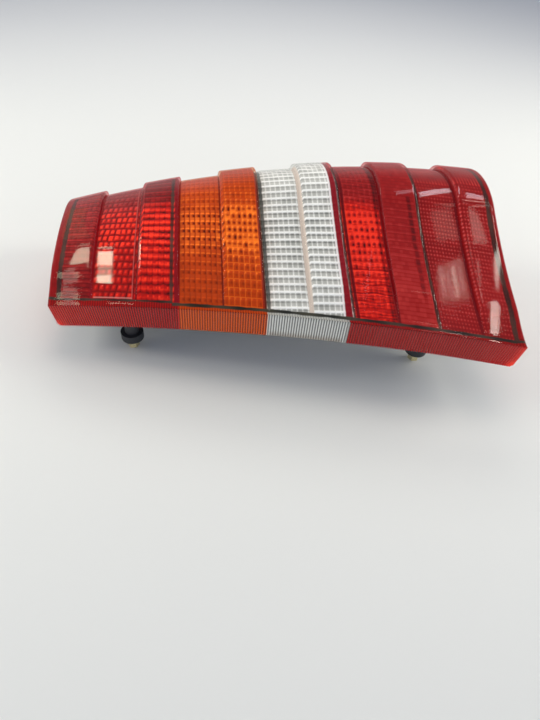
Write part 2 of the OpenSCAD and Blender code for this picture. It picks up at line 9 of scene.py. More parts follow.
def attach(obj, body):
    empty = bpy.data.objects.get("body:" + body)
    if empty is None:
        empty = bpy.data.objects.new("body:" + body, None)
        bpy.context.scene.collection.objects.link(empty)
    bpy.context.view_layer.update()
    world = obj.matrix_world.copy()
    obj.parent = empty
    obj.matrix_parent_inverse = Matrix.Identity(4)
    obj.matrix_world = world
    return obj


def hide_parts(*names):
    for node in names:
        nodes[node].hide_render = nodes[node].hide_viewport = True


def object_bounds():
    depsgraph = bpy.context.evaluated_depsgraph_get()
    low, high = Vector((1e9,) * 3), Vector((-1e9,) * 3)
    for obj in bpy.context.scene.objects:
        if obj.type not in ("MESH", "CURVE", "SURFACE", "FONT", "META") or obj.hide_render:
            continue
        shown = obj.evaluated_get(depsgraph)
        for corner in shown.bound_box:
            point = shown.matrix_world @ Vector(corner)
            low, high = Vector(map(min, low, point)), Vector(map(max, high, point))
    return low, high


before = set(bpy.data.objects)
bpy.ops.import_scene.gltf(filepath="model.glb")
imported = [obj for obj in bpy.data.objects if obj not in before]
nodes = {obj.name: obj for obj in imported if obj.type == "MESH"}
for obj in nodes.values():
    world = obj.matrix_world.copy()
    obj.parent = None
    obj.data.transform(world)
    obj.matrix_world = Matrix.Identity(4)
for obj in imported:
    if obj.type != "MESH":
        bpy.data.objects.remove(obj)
cad_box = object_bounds()

MM = 0.001

# Camera
CAMERA_AT = (-65.96, -431.87, 386.35)
CAMERA_RIGHT = (0.99310293, -0.09390735, 0.0701996)
CAMERA_UP = (0.01946674, 0.72249483, 0.69110221)
CAMERA_FORWARD = (0.11561843, 0.68496907, -0.7193398)
LENS_LENGTH = 27.05

camera_data = bpy.data.cameras.new("camera")
camera_data.sensor_fit = "VERTICAL"
camera_data.sensor_height = 36.0
camera_data.lens = LENS_LENGTH
camera_data.clip_start = 0.01
camera_data.clip_end = 50.0
camera = bpy.data.objects.new("camera", camera_data)
bpy.context.scene.collection.objects.link(camera)
axes = Matrix((
    (CAMERA_RIGHT[0], CAMERA_UP[0], -CAMERA_FORWARD[0]),
    (CAMERA_RIGHT[1], CAMERA_UP[1], -CAMERA_FORWARD[1]),
    (CAMERA_RIGHT[2], CAMERA_UP[2], -CAMERA_FORWARD[2]),
))
camera.matrix_world = Matrix.Translation(Vector(CAMERA_AT) * MM) @ axes.to_4x4()
bpy.context.scene.camera = camera

# Form of the lamp, in mm
LENGTH = 418.0
SKIRT_H = 25.0
SKIRT_SLANT = 85.0
BOW_RADIUS = 1830.0
BOW_APEX = 300.0
SKIRT_CLEAR = 53.0
END_LEAN = 5.0
SLOPE_START = (22.0, 14.0)
SLOPE_END = (-3.0, 30.0)
SLOPE_CROWN = 5.5
FACE_WIDTH = (128.0, 143.0)
WRAP_R = 75.0
WRAP_END = math.radians(-32.0)
CORNER_R = (10.0, 28.0)
FAR_SLOPE = math.radians(-85.0)
FAR_SHARE = 0.4
LENS_WALL = 2.6
BANDS = 11
BAND_STEP = 4.5
BAND_TAPER = 4.4
BAND_EDGE = 2.2
FACE_MARGIN = 7.0
BAND_RISE = 34.0
INNER_EDGE = 0.8
INNER_RUN = LENS_WALL + 0.4
FLUTES = 187
CREASE_R = 1.4
END_R = 1.6
WALL_T = 2.4

width = (cad_box[1][1] - cad_box[0][1]) / MM
SHIFT_X = -LENGTH / 2
SHIFT_Y = SKIRT_SLANT / 2 - width / 2


def blend(pair, x):
    return pair[0] + (pair[1] - pair[0]) * x / LENGTH


def band_x(i):
    return i * LENGTH / BANDS + BAND_TAPER * (i / 2 - i * (i - 1) / (2 * (BANDS - 1)))


BAND_AT = np.array([band_x(i) for i in range(BANDS + 1)])
JOINTS = (0.0, BAND_AT[3], BAND_AT[5], BAND_AT[7] - 5.0, LENGTH)
INSET_UPPER = 7.0
INSET_LOWER = 5.0
PARTITIONS = (
    BAND_AT[3] - 5.0 - WALL_T / 2, BAND_AT[5] + 0.4 + WALL_T / 2,
    BAND_AT[7] + 0.4 + WALL_T / 2, BAND_AT[9] + 0.4 + WALL_T / 2,
)


def near_y(x):
    return SKIRT_SLANT * (0.5 - x / LENGTH)


def low_z(x):
    return SKIRT_CLEAR - BOW_RADIUS + np.sqrt(BOW_RADIUS ** 2 - (x - BOW_APEX) ** 2)


def edge_z(x):
    return low_z(x) + SKIRT_H


def smooth(t):
    t = np.clip(t, 0, 1)
    return t * t * (3 - 2 * t)


def turned(across, up, slope, h, r):
    return across + r * (np.sin(slope) - np.sin(h)), up + r * (np.cos(h) - np.cos(slope))


def face_curve(x):
    """Slopes at the crease and at the wrap, width of the face, and its curvature."""
    s = np.radians(blend(SLOPE_START, x))
    crown = SLOPE_CROWN * 4 * x / LENGTH * (1 - x / LENGTH)
    e = np.radians(blend(SLOPE_END, x) + crown)
    fw = blend(FACE_WIDTH, x)
    k = (e - s) / fw
    k = np.where(np.abs(k) < 1e-7, 1e-7, k)
    return s, e, fw, k


def wrap_curve(x, s, e, k):
    """Ends of the face and of the wrap, the wrap's length, and the corner's radius and length."""
    face_end = (np.sin(e) - np.sin(s)) / k, (np.cos(s) - np.cos(e)) / k
    wrap_len = WRAP_R * (e - WRAP_END)
    wrap_end = turned(*face_end, e, np.full_like(e, WRAP_END), WRAP_R)
    room = (wrap_end[1] - 1) / (math.cos(WRAP_END) - math.cos(FAR_SLOPE))
    r = np.minimum(blend(CORNER_R, x), room)
    return face_end, wrap_end, wrap_len, r, r * (WRAP_END - FAR_SLOPE)


def crease_curve(s):
    """Start of the crease's arc, from the edge, and its length, where the face slopes by s."""
    return CREASE_R * np.tan((math.pi / 2 - s) / 2), CREASE_R * (math.pi / 2 - s)


def section(x, d):
    """across, up, slope and share of the band step, at a distance d from the crease."""
    s, e, fw, k = face_curve(x)
    face_end, wrap_end, wrap_len, r, corner_len = wrap_curve(x, s, e, k)
    set_back, arc = crease_curve(s)

    h = s + k * np.clip(d, 0, fw)
    face_a = (np.sin(h) - np.sin(s)) / k
    face_u = (np.cos(s) - np.cos(h)) / k

    wrap_h = np.maximum(e - (d - fw) / WRAP_R, WRAP_END)
    wrap_a, wrap_u = turned(*face_end, e, wrap_h, WRAP_R)

    corner_h = np.maximum(WRAP_END - (d - fw - wrap_len) / r, FAR_SLOPE)
    corner_a, corner_u = turned(*wrap_end, WRAP_END, corner_h, r)
    corner_share = 1 - (1 - FAR_SHARE) * (WRAP_END - corner_h) / (WRAP_END - FAR_SLOPE)

    last_a, last_u = turned(*wrap_end, WRAP_END, np.full_like(e, FAR_SLOPE), r)
    run = d - fw - wrap_len - corner_len
    far_a = last_a + run * math.cos(FAR_SLOPE)
    far_u = last_u + run * math.sin(FAR_SLOPE)
    far_share = FAR_SHARE * np.clip(far_u / np.maximum(last_u, 0.1), 0, 1)

    # Nearer than set_back, the crease's arc and the skirt below it run on as one length
    below = d - set_back + arc
    crease_h = math.pi / 2 - below / CREASE_R
    crease_a, crease_u = turned(0.0, -set_back, math.pi / 2, crease_h, CREASE_R)
    skirt_u = below - set_back

    zones = [
        below < 0, d < set_back, d < fw, d < fw + wrap_len, d < fw + wrap_len + corner_len,
    ]
    across = np.select(zones, [0 * d, crease_a, face_a, wrap_a, corner_a], far_a)
    up = np.select(zones, [skirt_u, crease_u, face_u, wrap_u, corner_u], far_u)
    slope = np.select(
        zones, [0 * d + math.pi / 2, crease_h, h, wrap_h, corner_h], 0 * d + FAR_SLOPE)
    rise = smooth((d - FACE_MARGIN) / BAND_RISE)
    share = np.select(zones, [0 * d, 0 * d, rise, rise, rise * corner_share], far_share)
    return across, up, slope, share


def section_length(x):
    """Distances from the crease, over the face, to the far wall's top and to its foot."""
    s, e, fw, k = face_curve(x)
    _, wrap_end, wrap_len, r, corner_len = wrap_curve(x, s, e, k)
    _, last_u = turned(*wrap_end, WRAP_END, np.full_like(e, FAR_SLOPE), r)
    upper = fw + wrap_len + corner_len
    return upper, upper + (last_u + SKIRT_H) / math.sin(-FAR_SLOPE)


def band_of(x):
    return np.clip(np.searchsorted(BAND_AT, x, side="right") - 1, 0, BANDS - 1)


def outer_share(x):
    """Share of the band step on the outside, with a rounded edge."""
    i = band_of(x)
    q = np.minimum(x - BAND_AT[i], BAND_AT[i + 1] - x) / BAND_EDGE
    rounded = np.sqrt(np.clip(1 - (1 - np.clip(q, 0, 1)) ** 2, 0, 1))
    return np.where(i % 2 == 0, rounded, 0.0)


def inner_share(x):
    """Share of the band step on the inside, which slants over a wall's thickness."""
    i = band_of(x)
    q = np.minimum(x - BAND_AT[i], BAND_AT[i + 1] - x)
    return np.where(i % 2 == 0, np.clip((q - INNER_EDGE) / INNER_RUN, 0, 1), 0.0)


def skin(x, d, inward, share):
    """Points of the surface set inwards, in metres, in the row's frame."""
    across, up, slope, along = section(x, d)
    e = inward - share * BAND_STEP * along
    px = x + SHIFT_X
    py = near_y(x) + across + e * np.sin(slope) + SHIFT_Y
    pz = edge_z(x) + up - e * np.cos(slope)
    return np.stack([px, py, pz], -1) * MM


def leaned(x, a, b, up):
    """x moved in at the closed ends, below the crease."""
    t = np.clip(-up / SKIRT_H, 0, 1) * END_LEAN
    lo = a + (t if a == 0 else 0)
    hi = b - (t if b == LENGTH else 0)
    return lo + (x - a) * (hi - lo) / (b - a)


# Mesh helpers
def grid_mesh(name, points, colours=None, flip=False):
    rows, cols = points.shape[:2]
    index = np.arange(rows * cols).reshape(rows, cols)
    quads = np.stack(
        [index[:-1, :-1], index[1:, :-1], index[1:, 1:], index[:-1, 1:]], -1).reshape(-1, 4)
    if flip:
        quads = quads[:, ::-1]
    mesh = bpy.data.meshes.new(name)
    mesh.from_pydata(points.reshape(-1, 3).tolist(), [], quads.tolist())
    mesh.polygons.foreach_set("use_smooth", np.ones(len(quads), bool))
    if colours is not None:
        layer = mesh.color_attributes.new("tone", "FLOAT_COLOR", "POINT")
        data = np.ones((rows * cols, 4), np.float32)
        data[:, :3] = colours.reshape(-1, 3)
        layer.data.foreach_set("color", data.ravel())
    mesh.update()
    thing = bpy.data.objects.new(name, mesh)
    bpy.context.scene.collection.objects.link(thing)
    return thing


def joined(name, things):
    target = things[0]
    with bpy.context.temp_override(
            active_object=target, selected_editable_objects=things, object=target,
            selected_objects=things):
        bpy.ops.object.join()
    target.name = name
    target.data.name = name
    return target


# Materials
def new_material(name):
    mat = bpy.data.materials.new(name)
    mat.use_nodes = True
    mat.node_tree.nodes.clear()
    out = mat.node_tree.nodes.new("ShaderNodeOutputMaterial")
    return mat, mat.node_tree, out


GLOSS_FACING = 0.040
GLOSS_GRAZING = 0.55
OPTICS_GLOW = 0.22


def plastic_skin(name, tint, deep, roughness):
    """Clear coloured plastic: gloss over a tint, deeper where light crosses it aslant."""
    mat, tree, out = new_material(name)
    clear = tree.nodes.new("ShaderNodeBsdfTransparent")
    slant = tree.nodes.new("ShaderNodeValToRGB")
    slant.color_ramp.elements[0].position = 0.45
    slant.color_ramp.elements[0].color = (*tint, 1)
    slant.color_ramp.elements[1].position = 0.95
    slant.color_ramp.elements[1].color = (*deep, 1)
    tree.links.new(slant.outputs["Color"], clear.inputs["Color"])
    gloss = tree.nodes.new("ShaderNodeBsdfGlossy")
    noise = tree.nodes.new("ShaderNodeTexNoise")
    noise.inputs["Scale"].default_value = 160.0
    noise.inputs["Detail"].default_value = 5.0
    place = tree.nodes.new("ShaderNodeTexCoord")
    tree.links.new(place.outputs["Object"], noise.inputs["Vector"])
    rough = tree.nodes.new("ShaderNodeMapRange")
    rough.inputs["To Min"].default_value = 0.5 * roughness
    rough.inputs["To Max"].default_value = 1.3 * roughness
    tree.links.new(noise.outputs["Fac"], rough.inputs["Value"])
    tree.links.new(rough.outputs["Result"], gloss.inputs["Roughness"])
    bump = tree.nodes.new("ShaderNodeBump")
    bump.inputs["Distance"].default_value = 0.00002
    bump.inputs["Strength"].default_value = 0.5
    tree.links.new(noise.outputs["Fac"], bump.inputs["Height"])
    tree.links.new(bump.outputs["Normal"], gloss.inputs["Normal"])
    # Schlick's gloss: the same from both sides, so the far wall doesn't turn dark
    facing = tree.nodes.new("ShaderNodeLayerWeight")
    power = tree.nodes.new("ShaderNodeMath")
    power.operation = "POWER"
    power.inputs[1].default_value = 5.0
    share = tree.nodes.new("ShaderNodeMapRange")
    share.inputs["To Min"].default_value = GLOSS_FACING
    share.inputs["To Max"].default_value = GLOSS_GRAZING
    tree.links.new(facing.outputs["Facing"], slant.inputs["Fac"])
    tree.links.new(facing.outputs["Facing"], power.inputs[0])
    tree.links.new(power.outputs["Value"], share.inputs["Value"])
    mix = tree.nodes.new("ShaderNodeMixShader")
    tree.links.new(share.outputs["Result"], mix.inputs["Fac"])
    tree.links.new(clear.outputs["BSDF"], mix.inputs[1])
    tree.links.new(gloss.outputs["BSDF"], mix.inputs[2])
    tree.links.new(mix.outputs["Shader"], out.inputs["Surface"])
    return mat


def optics(name, roughness, metallic):
    """Moulded inner side: its tones are on the mesh, and part of them glows as if lit through."""
    mat, tree, out = new_material(name)
    base = tree.nodes.new("ShaderNodeBsdfPrincipled")
    base.inputs["Roughness"].default_value = roughness
    base.inputs["Metallic"].default_value = metallic
    base.inputs["Specular IOR Level"].default_value = 0.12
    base.inputs["Emission Strength"].default_value = OPTICS_GLOW
    tone = tree.nodes.new("ShaderNodeAttribute")
    tone.attribute_name = "tone"
    tree.links.new(tone.outputs["Color"], base.inputs["Base Color"])
    tree.links.new(tone.outputs["Color"], base.inputs["Emission Color"])
    tree.links.new(base.outputs["BSDF"], out.inputs["Surface"])
    return mat


def noisy(name, colour, roughness, metallic=0.0, scale=900.0, depth=0.15, grain=0.00005):
    """Moulded, rubber or plated finish: colour and relief vary a little with noise."""
    mat, tree, out = new_material(name)
    base = tree.nodes.new("ShaderNodeBsdfPrincipled")
    base.inputs["Metallic"].default_value = metallic
    noise = tree.nodes.new("ShaderNodeTexNoise")
    noise.inputs["Scale"].default_value = scale
    noise.inputs["Detail"].default_value = 6.0
    place = tree.nodes.new("ShaderNodeTexCoord")
    tree.links.new(place.outputs["Object"], noise.inputs["Vector"])
    ramp = tree.nodes.new("ShaderNodeValToRGB")
    ramp.color_ramp.elements[0].color = (*[c * (1 - depth) for c in colour], 1)
    ramp.color_ramp.elements[1].color = (*[min(c * (1 + depth), 1) for c in colour], 1)
    tree.links.new(noise.outputs["Fac"], ramp.inputs["Fac"])
    tree.links.new(ramp.outputs["Color"], base.inputs["Base Color"])
    rough = tree.nodes.new("ShaderNodeMapRange")
    rough.inputs["To Min"].default_value = max(roughness - 0.08, 0.02)
    rough.inputs["To Max"].default_value = roughness + 0.08
    tree.links.new(noise.outputs["Fac"], rough.inputs["Value"])
    tree.links.new(rough.outputs["Result"], base.inputs["Roughness"])
    bump = tree.nodes.new("ShaderNodeBump")
    bump.inputs["Distance"].default_value = grain
    bump.inputs["Strength"].default_value = 0.6
    tree.links.new(noise.outputs["Fac"], bump.inputs["Height"])
    tree.links.new(bump.outputs["Normal"], base.inputs["Normal"])
    tree.links.new(base.outputs["BSDF"], out.inputs["Surface"])
    return mat


# Lens, outer skin
FLUTE_PITCH = LENGTH / FLUTES
FLUTE_STEPS = 8
FLUTE_DEPTH = 0.22
BAND_TURN = np.radians([2, 10, 20, 32, 45, 60, 75, 90])
END_TURN = np.radians([0, 20, 40, 60, 75, 90])
BAND_STATIONS = 12
FACE_ROWS = 90
SKIRT_ROWS = 12
FOOT_R = 0.7
CORNER_LIFT = 4.0


def outer_stations(a, b):
    """Stations from a to b, closer on the rounded edges of the raised bands and of the ends."""
    xs = []
    for i in range(BANDS):
        lo, hi = BAND_AT[i], BAND_AT[i + 1]
        if i % 2 == 0:
            turn = BAND_EDGE * (1 - np.cos(BAND_TURN))
            xs += list(lo + turn) + list(hi - turn)
            lo, hi = lo + BAND_EDGE, hi - BAND_EDGE
        else:
            xs += [lo + 0.01, lo + 0.3, hi - 0.3, hi - 0.01]
        xs += list(np.linspace(lo, hi, BAND_STATIONS))
    if a == 0:
        xs += list(END_R * (1 - np.cos(END_TURN)))
    if b == LENGTH:
        xs += list(b - END_R * (1 - np.cos(END_TURN)))
    xs = np.array(sorted(set(np.round(xs, 4))))
    xs = xs[(xs > a + 0.02) & (xs < b - 0.02)]
    return np.concatenate([[a], xs, [b]])


def end_round(x, a, b):
    """How far the rounded edge of a closed end lies below the face."""
    e = np.zeros_like(x)
    for at, sign in ((a, 1), (b, -1)):
        if at in (0, LENGTH):
            q = np.clip(sign * (x - at) / END_R, 0, 1)
            e += END_R * (1 - np.sqrt(1 - (1 - q) ** 2))
    return e


def skirt_height(x):
    """Height of the skirt, less near the closed ends, where its lower corner is round."""
    q = np.clip(np.minimum(x, LENGTH - x), 0, CORNER_LIFT)
    lift = CORNER_LIFT - np.sqrt(CORNER_LIFT ** 2 - (CORNER_LIFT - q) ** 2)
    return SKIRT_H - lift


def skin_piece(name, a, b, material):
    """Outer side of one shot of the lens, from a to b."""
    xs = outer_stations(a, b)
    upper, total = section_length(xs)
    set_back, arc = crease_curve(np.radians(blend(SLOPE_START, xs)))
    crease = [(set_back - arc) + arc * t for t in (0, 0.2, 0.4, 0.6, 0.8, 1)]
    face = [set_back + (upper - set_back) * t for t in np.linspace(0, 1, FACE_ROWS)[1:]]
    far = [upper + (total - upper) * t for t in (0.1, 0.25, 0.4, 0.6, 0.8, 1)]
    d = np.stack(crease + face + far)
    x = np.broadcast_to(xs, d.shape).copy()
    _, up, _, _ = section(x, d)
    x_lean = leaned(x, a, b, up)
    points = skin(x_lean, d, end_round(x, a, b), outer_share(x))
    things = [grid_mesh(name + "_face", points, flip=True)]
    # End walls: from the edge of the face down to a level line, then the leaning foot
    for at, col in ((a, 0), (b, -1)):
        if at not in (0, LENGTH):
            continue
        edge = points[:, col]
        keep = edge[:, 2] * 1000 >= edge_z(np.array(float(at))) - 0.01
        top = edge[keep]
        level = top.copy()
        level[:, 2] = edge_z(np.array(float(at))) * MM
        foot = level.copy()
        down = float(skirt_height(np.array(float(at))))
        inward = (END_LEAN if at == 0 else -END_LEAN) * down / SKIRT_H
        foot[:, 0] += inward * MM
        foot[:, 2] = (edge_z(np.array(at + inward)) - down) * MM
        mid = [top + (level - top) * t for t in (0, 0.5, 1)]
        low = [level + (foot - level) * t for t in (0.33, 0.66, 1)]
        things.append(grid_mesh(name + "_end", np.stack(mid + low), flip=(at == 0)))
    # Skirt with its flutes
    n = int(round((b - a) / FLUTE_PITCH * FLUTE_STEPS)) + 1
    xs = np.linspace(a, b, n)
    set_back, arc = crease_curve(np.radians(blend(SLOPE_START, xs)))
    rows = []
    for t in np.linspace(0, 1, SKIRT_ROWS):
        rows.append((set_back - arc) - (skirt_height(xs) - set_back - FOOT_R) * t)
    d = np.stack(rows)
    x = np.broadcast_to(xs, d.shape).copy()
    _, up, _, _ = section(x, d)
    fade = smooth((-up - 1.5) / 1.5) * smooth((SKIRT_H + up) / 1.5 - 0.5)
    groove = FLUTE_DEPTH * (0.5 - 0.5 * np.cos(2 * math.pi * x / FLUTE_PITCH)) * fade
    points = skin(leaned(x, a, b, up), d, groove, 0 * x)
    # Rounded foot and the rim under it
    foot = [points]
    for t in np.radians([20, 40, 60, 75, 90]):
        row = points[-1:].copy()
        row[..., 1] += FOOT_R * (1 - math.cos(t)) * MM
        row[..., 2] -= FOOT_R * math.sin(t) * MM
        foot.append(row)
    rim = foot[-1].copy()
    rim[..., 1] += (LENS_WALL - FOOT_R) * MM
    foot.append(rim)
    things.append(grid_mesh(name + "_skirt", np.concatenate(foot, 0)))
    piece = joined(name, things)
    piece.data.materials.clear()
    piece.data.materials.append(material)
    return piece


# Lens, inner optics. Colours as seen through the tinted skin: dark, middle, bright
REDS = ((0.060, 0.002, 0.003), (0.48, 0.008, 0.005), (1.0, 0.055, 0.020))
ROSES = ((0.065, 0.003, 0.004), (0.29, 0.010, 0.010), (0.66, 0.075, 0.062))
AMBERS = ((0.100, 0.012, 0.001), (0.50, 0.056, 0.003), (1.0, 0.26, 0.024))
CLEARS = ((0.15, 0.155, 0.145), (0.47, 0.46, 0.42), (0.92, 0.91, 0.87))
BLACK = np.array([0.016, 0.018, 0.015])
BEAD_HALF = 1.5
# Cells of the patterns: along the lamp and away from the crease, in mm
MATT_CELL = (5.2, 4.1)
PILLOW_CELL = (5.4, 8.5)
PILLOW_FINE = 2.83
SCALLOP_CELL = (5.1, 8.5)
STRIPE_CELL = (4.9, 9.8)
BAND_E_CELL = (5.0, 8.6)
RUNG_CELL = (4.8, 8.2)
BAND_H_CELL = (5.0, 8.2)
PRISM_CELL = (2.9, 4.1)


def tone_map(colours, t):
    """Colour at t: 0 is the dark one, 0.5 the middle one and 1 the bright one."""
    t = np.clip(t, 0, 1)
    return np.stack([np.interp(t, (0, 0.5, 1), [c[k] for c in colours]) for k in range(3)], -1)


def wave(u, pitch):
    """0 at the cell's edges and 1 in its middle."""
    f = u / pitch - np.floor(u / pitch)
    return 1 - (2 * f - 1) ** 2


def line(u, pitch, wide, at=0.0):
    """1 on lines every pitch, falling to 0 at half of wide beside them."""
    f = (u - at) - pitch * np.round((u - at) / pitch)
    return np.clip(1 - np.abs(f) / (wide / 2), 0, 1)


def spot(u, d, pitch_u, pitch_d, at_u, at_d, wide_u, wide_d):
    """A soft spot in each cell; places and widths are shares of the cell."""
    fu = (u / pitch_u) % 1 - at_u
    fd = (d / pitch_d) % 1 - at_d
    return np.exp(-(fu / wide_u) ** 2 - (fd / wide_d) ** 2)


def along(d, *pairs):
    """A value that changes along d, from pairs of distance and value."""
    return np.interp(d, [p[0] for p in pairs], [p[1] for p in pairs])


def hashed(i, j):
    """Scattered value from 0 to 1 for each cell, the same each run."""
    v = np.sin(i * 12.9898 + j * 78.233 + 4.1) * 43758.5453
    return v - np.floor(v)


def cells(u, d, pitch_u, pitch_d, shift=0.0):
    row = np.floor(d / pitch_d)
    return hashed(np.floor((u + shift * (row % 2) * pitch_u) / pitch_u), row) - 0.5


def drift(u, d, size):
    """Slow waver that keeps rows and columns from being ruled too straight."""
    return np.sin(u / size + 0.7 * np.sin(d / size * 0.6)) * np.cos(d / size * 1.3 + 1.0)


def matt_rows(u, d):
    """Band A: low rows in matt dark rose."""
    wide, tall = MATT_CELL
    d = d + 0.5 * drift(u, d, 9.0)
    row = line(d, 2 * tall, 3.0, 1.0)
    fine = line(d, tall, 2.0)
    tick = line(u + wide / 4 * (np.floor(d / tall) % 2), wide / 2, 1.5) * wave(d, tall)
    t = 0.50 + 0.28 * row - 0.44 * fine - 0.14 * tick + 0.26 * cells(u, d, wide / 2, tall)
    return t, 0.35 * wave(d, 2 * tall) * wave(u, wide)


def pillows(u, d, lit, deep):
    """Band B: upright pillows, bright where the reflector lies behind them."""
    wide, tall = PILLOW_CELL
    v = u + 0.45 * drift(u, d, 6.0) - 0.16 * (d % tall) + 1.3 * (np.floor(d / tall) % 2)
    uneven = cells(v, d, wide, tall)
    row = line(d + 0.5 * drift(u, d, 3.0), tall, 4.6) * (0.75 + 0.5 * uneven)
    gap = line(v, wide, 2.9) * (0.65 + 0.9 * cells(v + wide / 2, d, wide, tall))
    dark = np.maximum(gap, row)
    glint = spot(v, d, wide, tall, 0.42, 0.62, 0.20, 0.24)
    fine = line(d, PILLOW_FINE, 1.6) * cells(v, d, wide / 2, PILLOW_FINE)
    t = lit + 1.25 * deep * (0.34 - 1.2 * dark + 0.75 * glint + 0.6 * fine + 0.7 * uneven)
    return t, 0.9 * np.sqrt(wave(v, wide) * wave(d, tall))


def scallops(u, d, lit, deep):
    """Band C: bright rows with a dark wavy line under each."""
    wide, tall = SCALLOP_CELL
    v = d + 0.7 * np.abs(np.sin(math.pi * u / wide)) + 0.3 * drift(u, d, 7.0)
    half = cells(u, v, wide / 2, tall)
    groove = line(v, tall, 0.62 * tall) * (1 + 0.8 * half)
    ridge = line(v, tall, 0.36 * tall, 0.42 * tall)
    column = line(u + 0.4 * drift(u, v, 5.0), wide, 1.8)
    column = column * (0.7 + 0.9 * cells(u + 2.5, v, wide, tall))
    glint = spot(u, v, wide / 2, tall, 0.5, 0.62, 0.30, 0.13) * (0.5 + 2 * half)
    t = lit + 1.2 * deep * (0.26 - 1.0 * groove + 0.45 * ridge - 0.50 * column
                            + 0.6 * cells(u, v, wide, tall) + 0.7 * glint)
    return t, 0.8 * wave(v, tall) * (0.6 + 0.4 * wave(u, wide))


def windows(u, d, lit, deep, grid, cell):
    """Bands E and H: cells with a dark middle and a bright corner, in a thin bright grid."""
    wide, tall = cell
    u = u + 0.25 * drift(u, d, 8.0)
    uneven = cells(u, d, wide, tall)
    other = cells(u, d + 400.0, wide, tall)
    middle = spot(u, d, wide, tall, 0.56 + 0.2 * uneven, 0.42 + 0.2 * other,
                  0.27 + 0.16 * other, 0.20 + 0.12 * uneven)
    glint = spot(u, d, wide, tall, 0.16, 0.80, 0.16, 0.14) * (1 + 1.2 * other)
    edge = np.maximum(line(u, wide, 1.2), line(d, tall, 1.6))
    middle = middle * (1.0 + 0.9 * uneven)
    t = lit + grid * (edge - 0.25) + deep * (0.36 - middle + glint + 0.4 * other)
    return t, 0.9 * np.sqrt(wave(u, wide) * wave(d, tall))


def stripes(u, d, lit, deep):
    """Band D: dark upright lines with dark notches on every row."""
    wide, tall = STRIPE_CELL
    v = u + 0.25 * drift(u, d, 8.0)
    column = line(v, wide, 1.9)
    notch = spot(v, d, wide, tall, 0.80, 0.20, 0.30, 0.17)
    ridge = line(d, tall, 2.4, 0.5 * tall) * (1 - column)
    t = lit + deep * (0.20 - 0.55 * column - 1.05 * notch + 0.65 * ridge
                      + 0.4 * cells(v, d, wide, tall))
    return t, 0.8 * np.sqrt(wave(v, wide) * wave(d, tall))


def ladder(u, d, deep):
    """Clear bands F and G: thick white rungs, thin columns and grey cells between them."""
    wide, tall = RUNG_CELL
    d = d - 0.10 * u
    uneven = cells(u, d, wide, tall)
    rung = np.clip(1.9 * line(d, tall, 3.3, 1.0), 0, 1)
    under = line(d, tall, 2.2, 6.6)
    column = line(u, wide, 1.7)
    t = 0.56 - 0.22 * deep * wave(u, wide) * (0.5 + 0.5 * wave(d - 3.0, tall)) + 0.30 * column
    t = t - 0.34 * under * deep + 0.16 * uneven + 0.06 * cells(u, d, 1.2, 2.0)
    t = t + (0.95 + 0.10 * uneven - t) * rung
    return t, 0.8 * rung + 0.35 * wave(u, wide) * (1 - rung)


def dots(u, d, lit, shine):
    """Reflex area: close rows of small prisms, some with a pale point."""
    wide, tall = PRISM_CELL
    point = 0.5 + 0.5 * np.cos(math.pi * 2 * u / wide)
    point = point * (0.5 + 0.5 * np.cos(math.pi * 2 * d / tall))
    uneven = np.abs(cells(u + wide / 2, d + tall / 2, wide, tall))
    t = lit - 0.13 + 0.10 * wave(d, 2 * tall) + 0.22 * (point - 0.3)
    t = t + 1.5 * shine * point ** 3 * (0.5 + 1.6 * uneven)
    return t + 0.10 * cells(u, d, 8.7, 2 * tall), 0.35 * point


def toward(colour, other, share):
    """colour moved towards other where share is 1."""
    return colour + (other - colour) * np.clip(share, 0, 1)[..., None]


def band_a(u, d):
    t, relief = matt_rows(u, d)
    return tone_map(ROSES, t * along(d, (5, 0.75), (60, 0.85), (110, 0.95), (150, 0.9))), relief


def band_b(u, d):
    lit = along(d, (5, 0.32), (60, 0.38), (76, 0.50), (100, 0.48), (118, 0.42), (140, 0.36))
    deep = along(d, (5, 0.30), (62, 0.40), (76, 0.62), (112, 0.56), (128, 0.26), (145, 0.14))
    t, relief = pillows(u, d, lit, deep)
    red = tone_map(REDS, t)
    rose = tone_map(ROSES, t + 0.1 - 0.3 * line(d, 2.8, 1.4))
    return toward(red, rose, smooth((d - 112) / 22)), relief


def band_c(u, d):
    lit = along(d, (5, 0.46), (40, 0.50), (95, 0.58), (112, 0.50), (125, 0.40), (150, 0.34))
    deep = along(d, (5, 0.32), (60, 0.40), (80, 0.54), (108, 0.50), (122, 0.26), (150, 0.14))
    t, relief = scallops(u, d, lit, deep)
    rose = tone_map(ROSES, t - 0.5 * line(d, 4.2, 1.6))
    return toward(tone_map(REDS, t), rose, smooth((d - 116) / 16)), relief


def band_d(u, d):
    lit = along(d, (5, 0.34), (55, 0.42), (75, 0.52), (112, 0.52), (128, 0.50), (160, 0.44))
    deep = along(d, (5, 0.18), (55, 0.30), (78, 0.62), (110, 0.66), (124, 0.30), (160, 0.14))
    t, relief = stripes(u, d, lit, deep)
    return tone_map(AMBERS, t), relief


def band_e(u, d):
    lit = along(d, (5, 0.44), (60, 0.46), (80, 0.52), (116, 0.54), (128, 0.52), (160, 0.44))
    deep = along(d, (5, 0.14), (55, 0.26), (76, 0.70), (114, 0.74), (122, 0.20), (160, 0.06))
    grid = along(d, (5, 0.22), (60, 0.26), (80, 0.10), (115, 0.12), (130, 0.16), (160, 0.14))
    t, relief = windows(u, d, lit, deep, grid, BAND_E_CELL)
    upper = smooth((d - 118) / 10)
    return tone_map(AMBERS, t - 0.22 * upper * line(d, 4.3, 1.8)), relief


def band_clear(u, d):
    deep = along(d, (5, 0.70), (60, 0.9), (95, 1.25), (125, 0.9), (150, 0.5))
    t, relief = ladder(u - 2.0, d, deep)
    return tone_map(CLEARS, t), relief


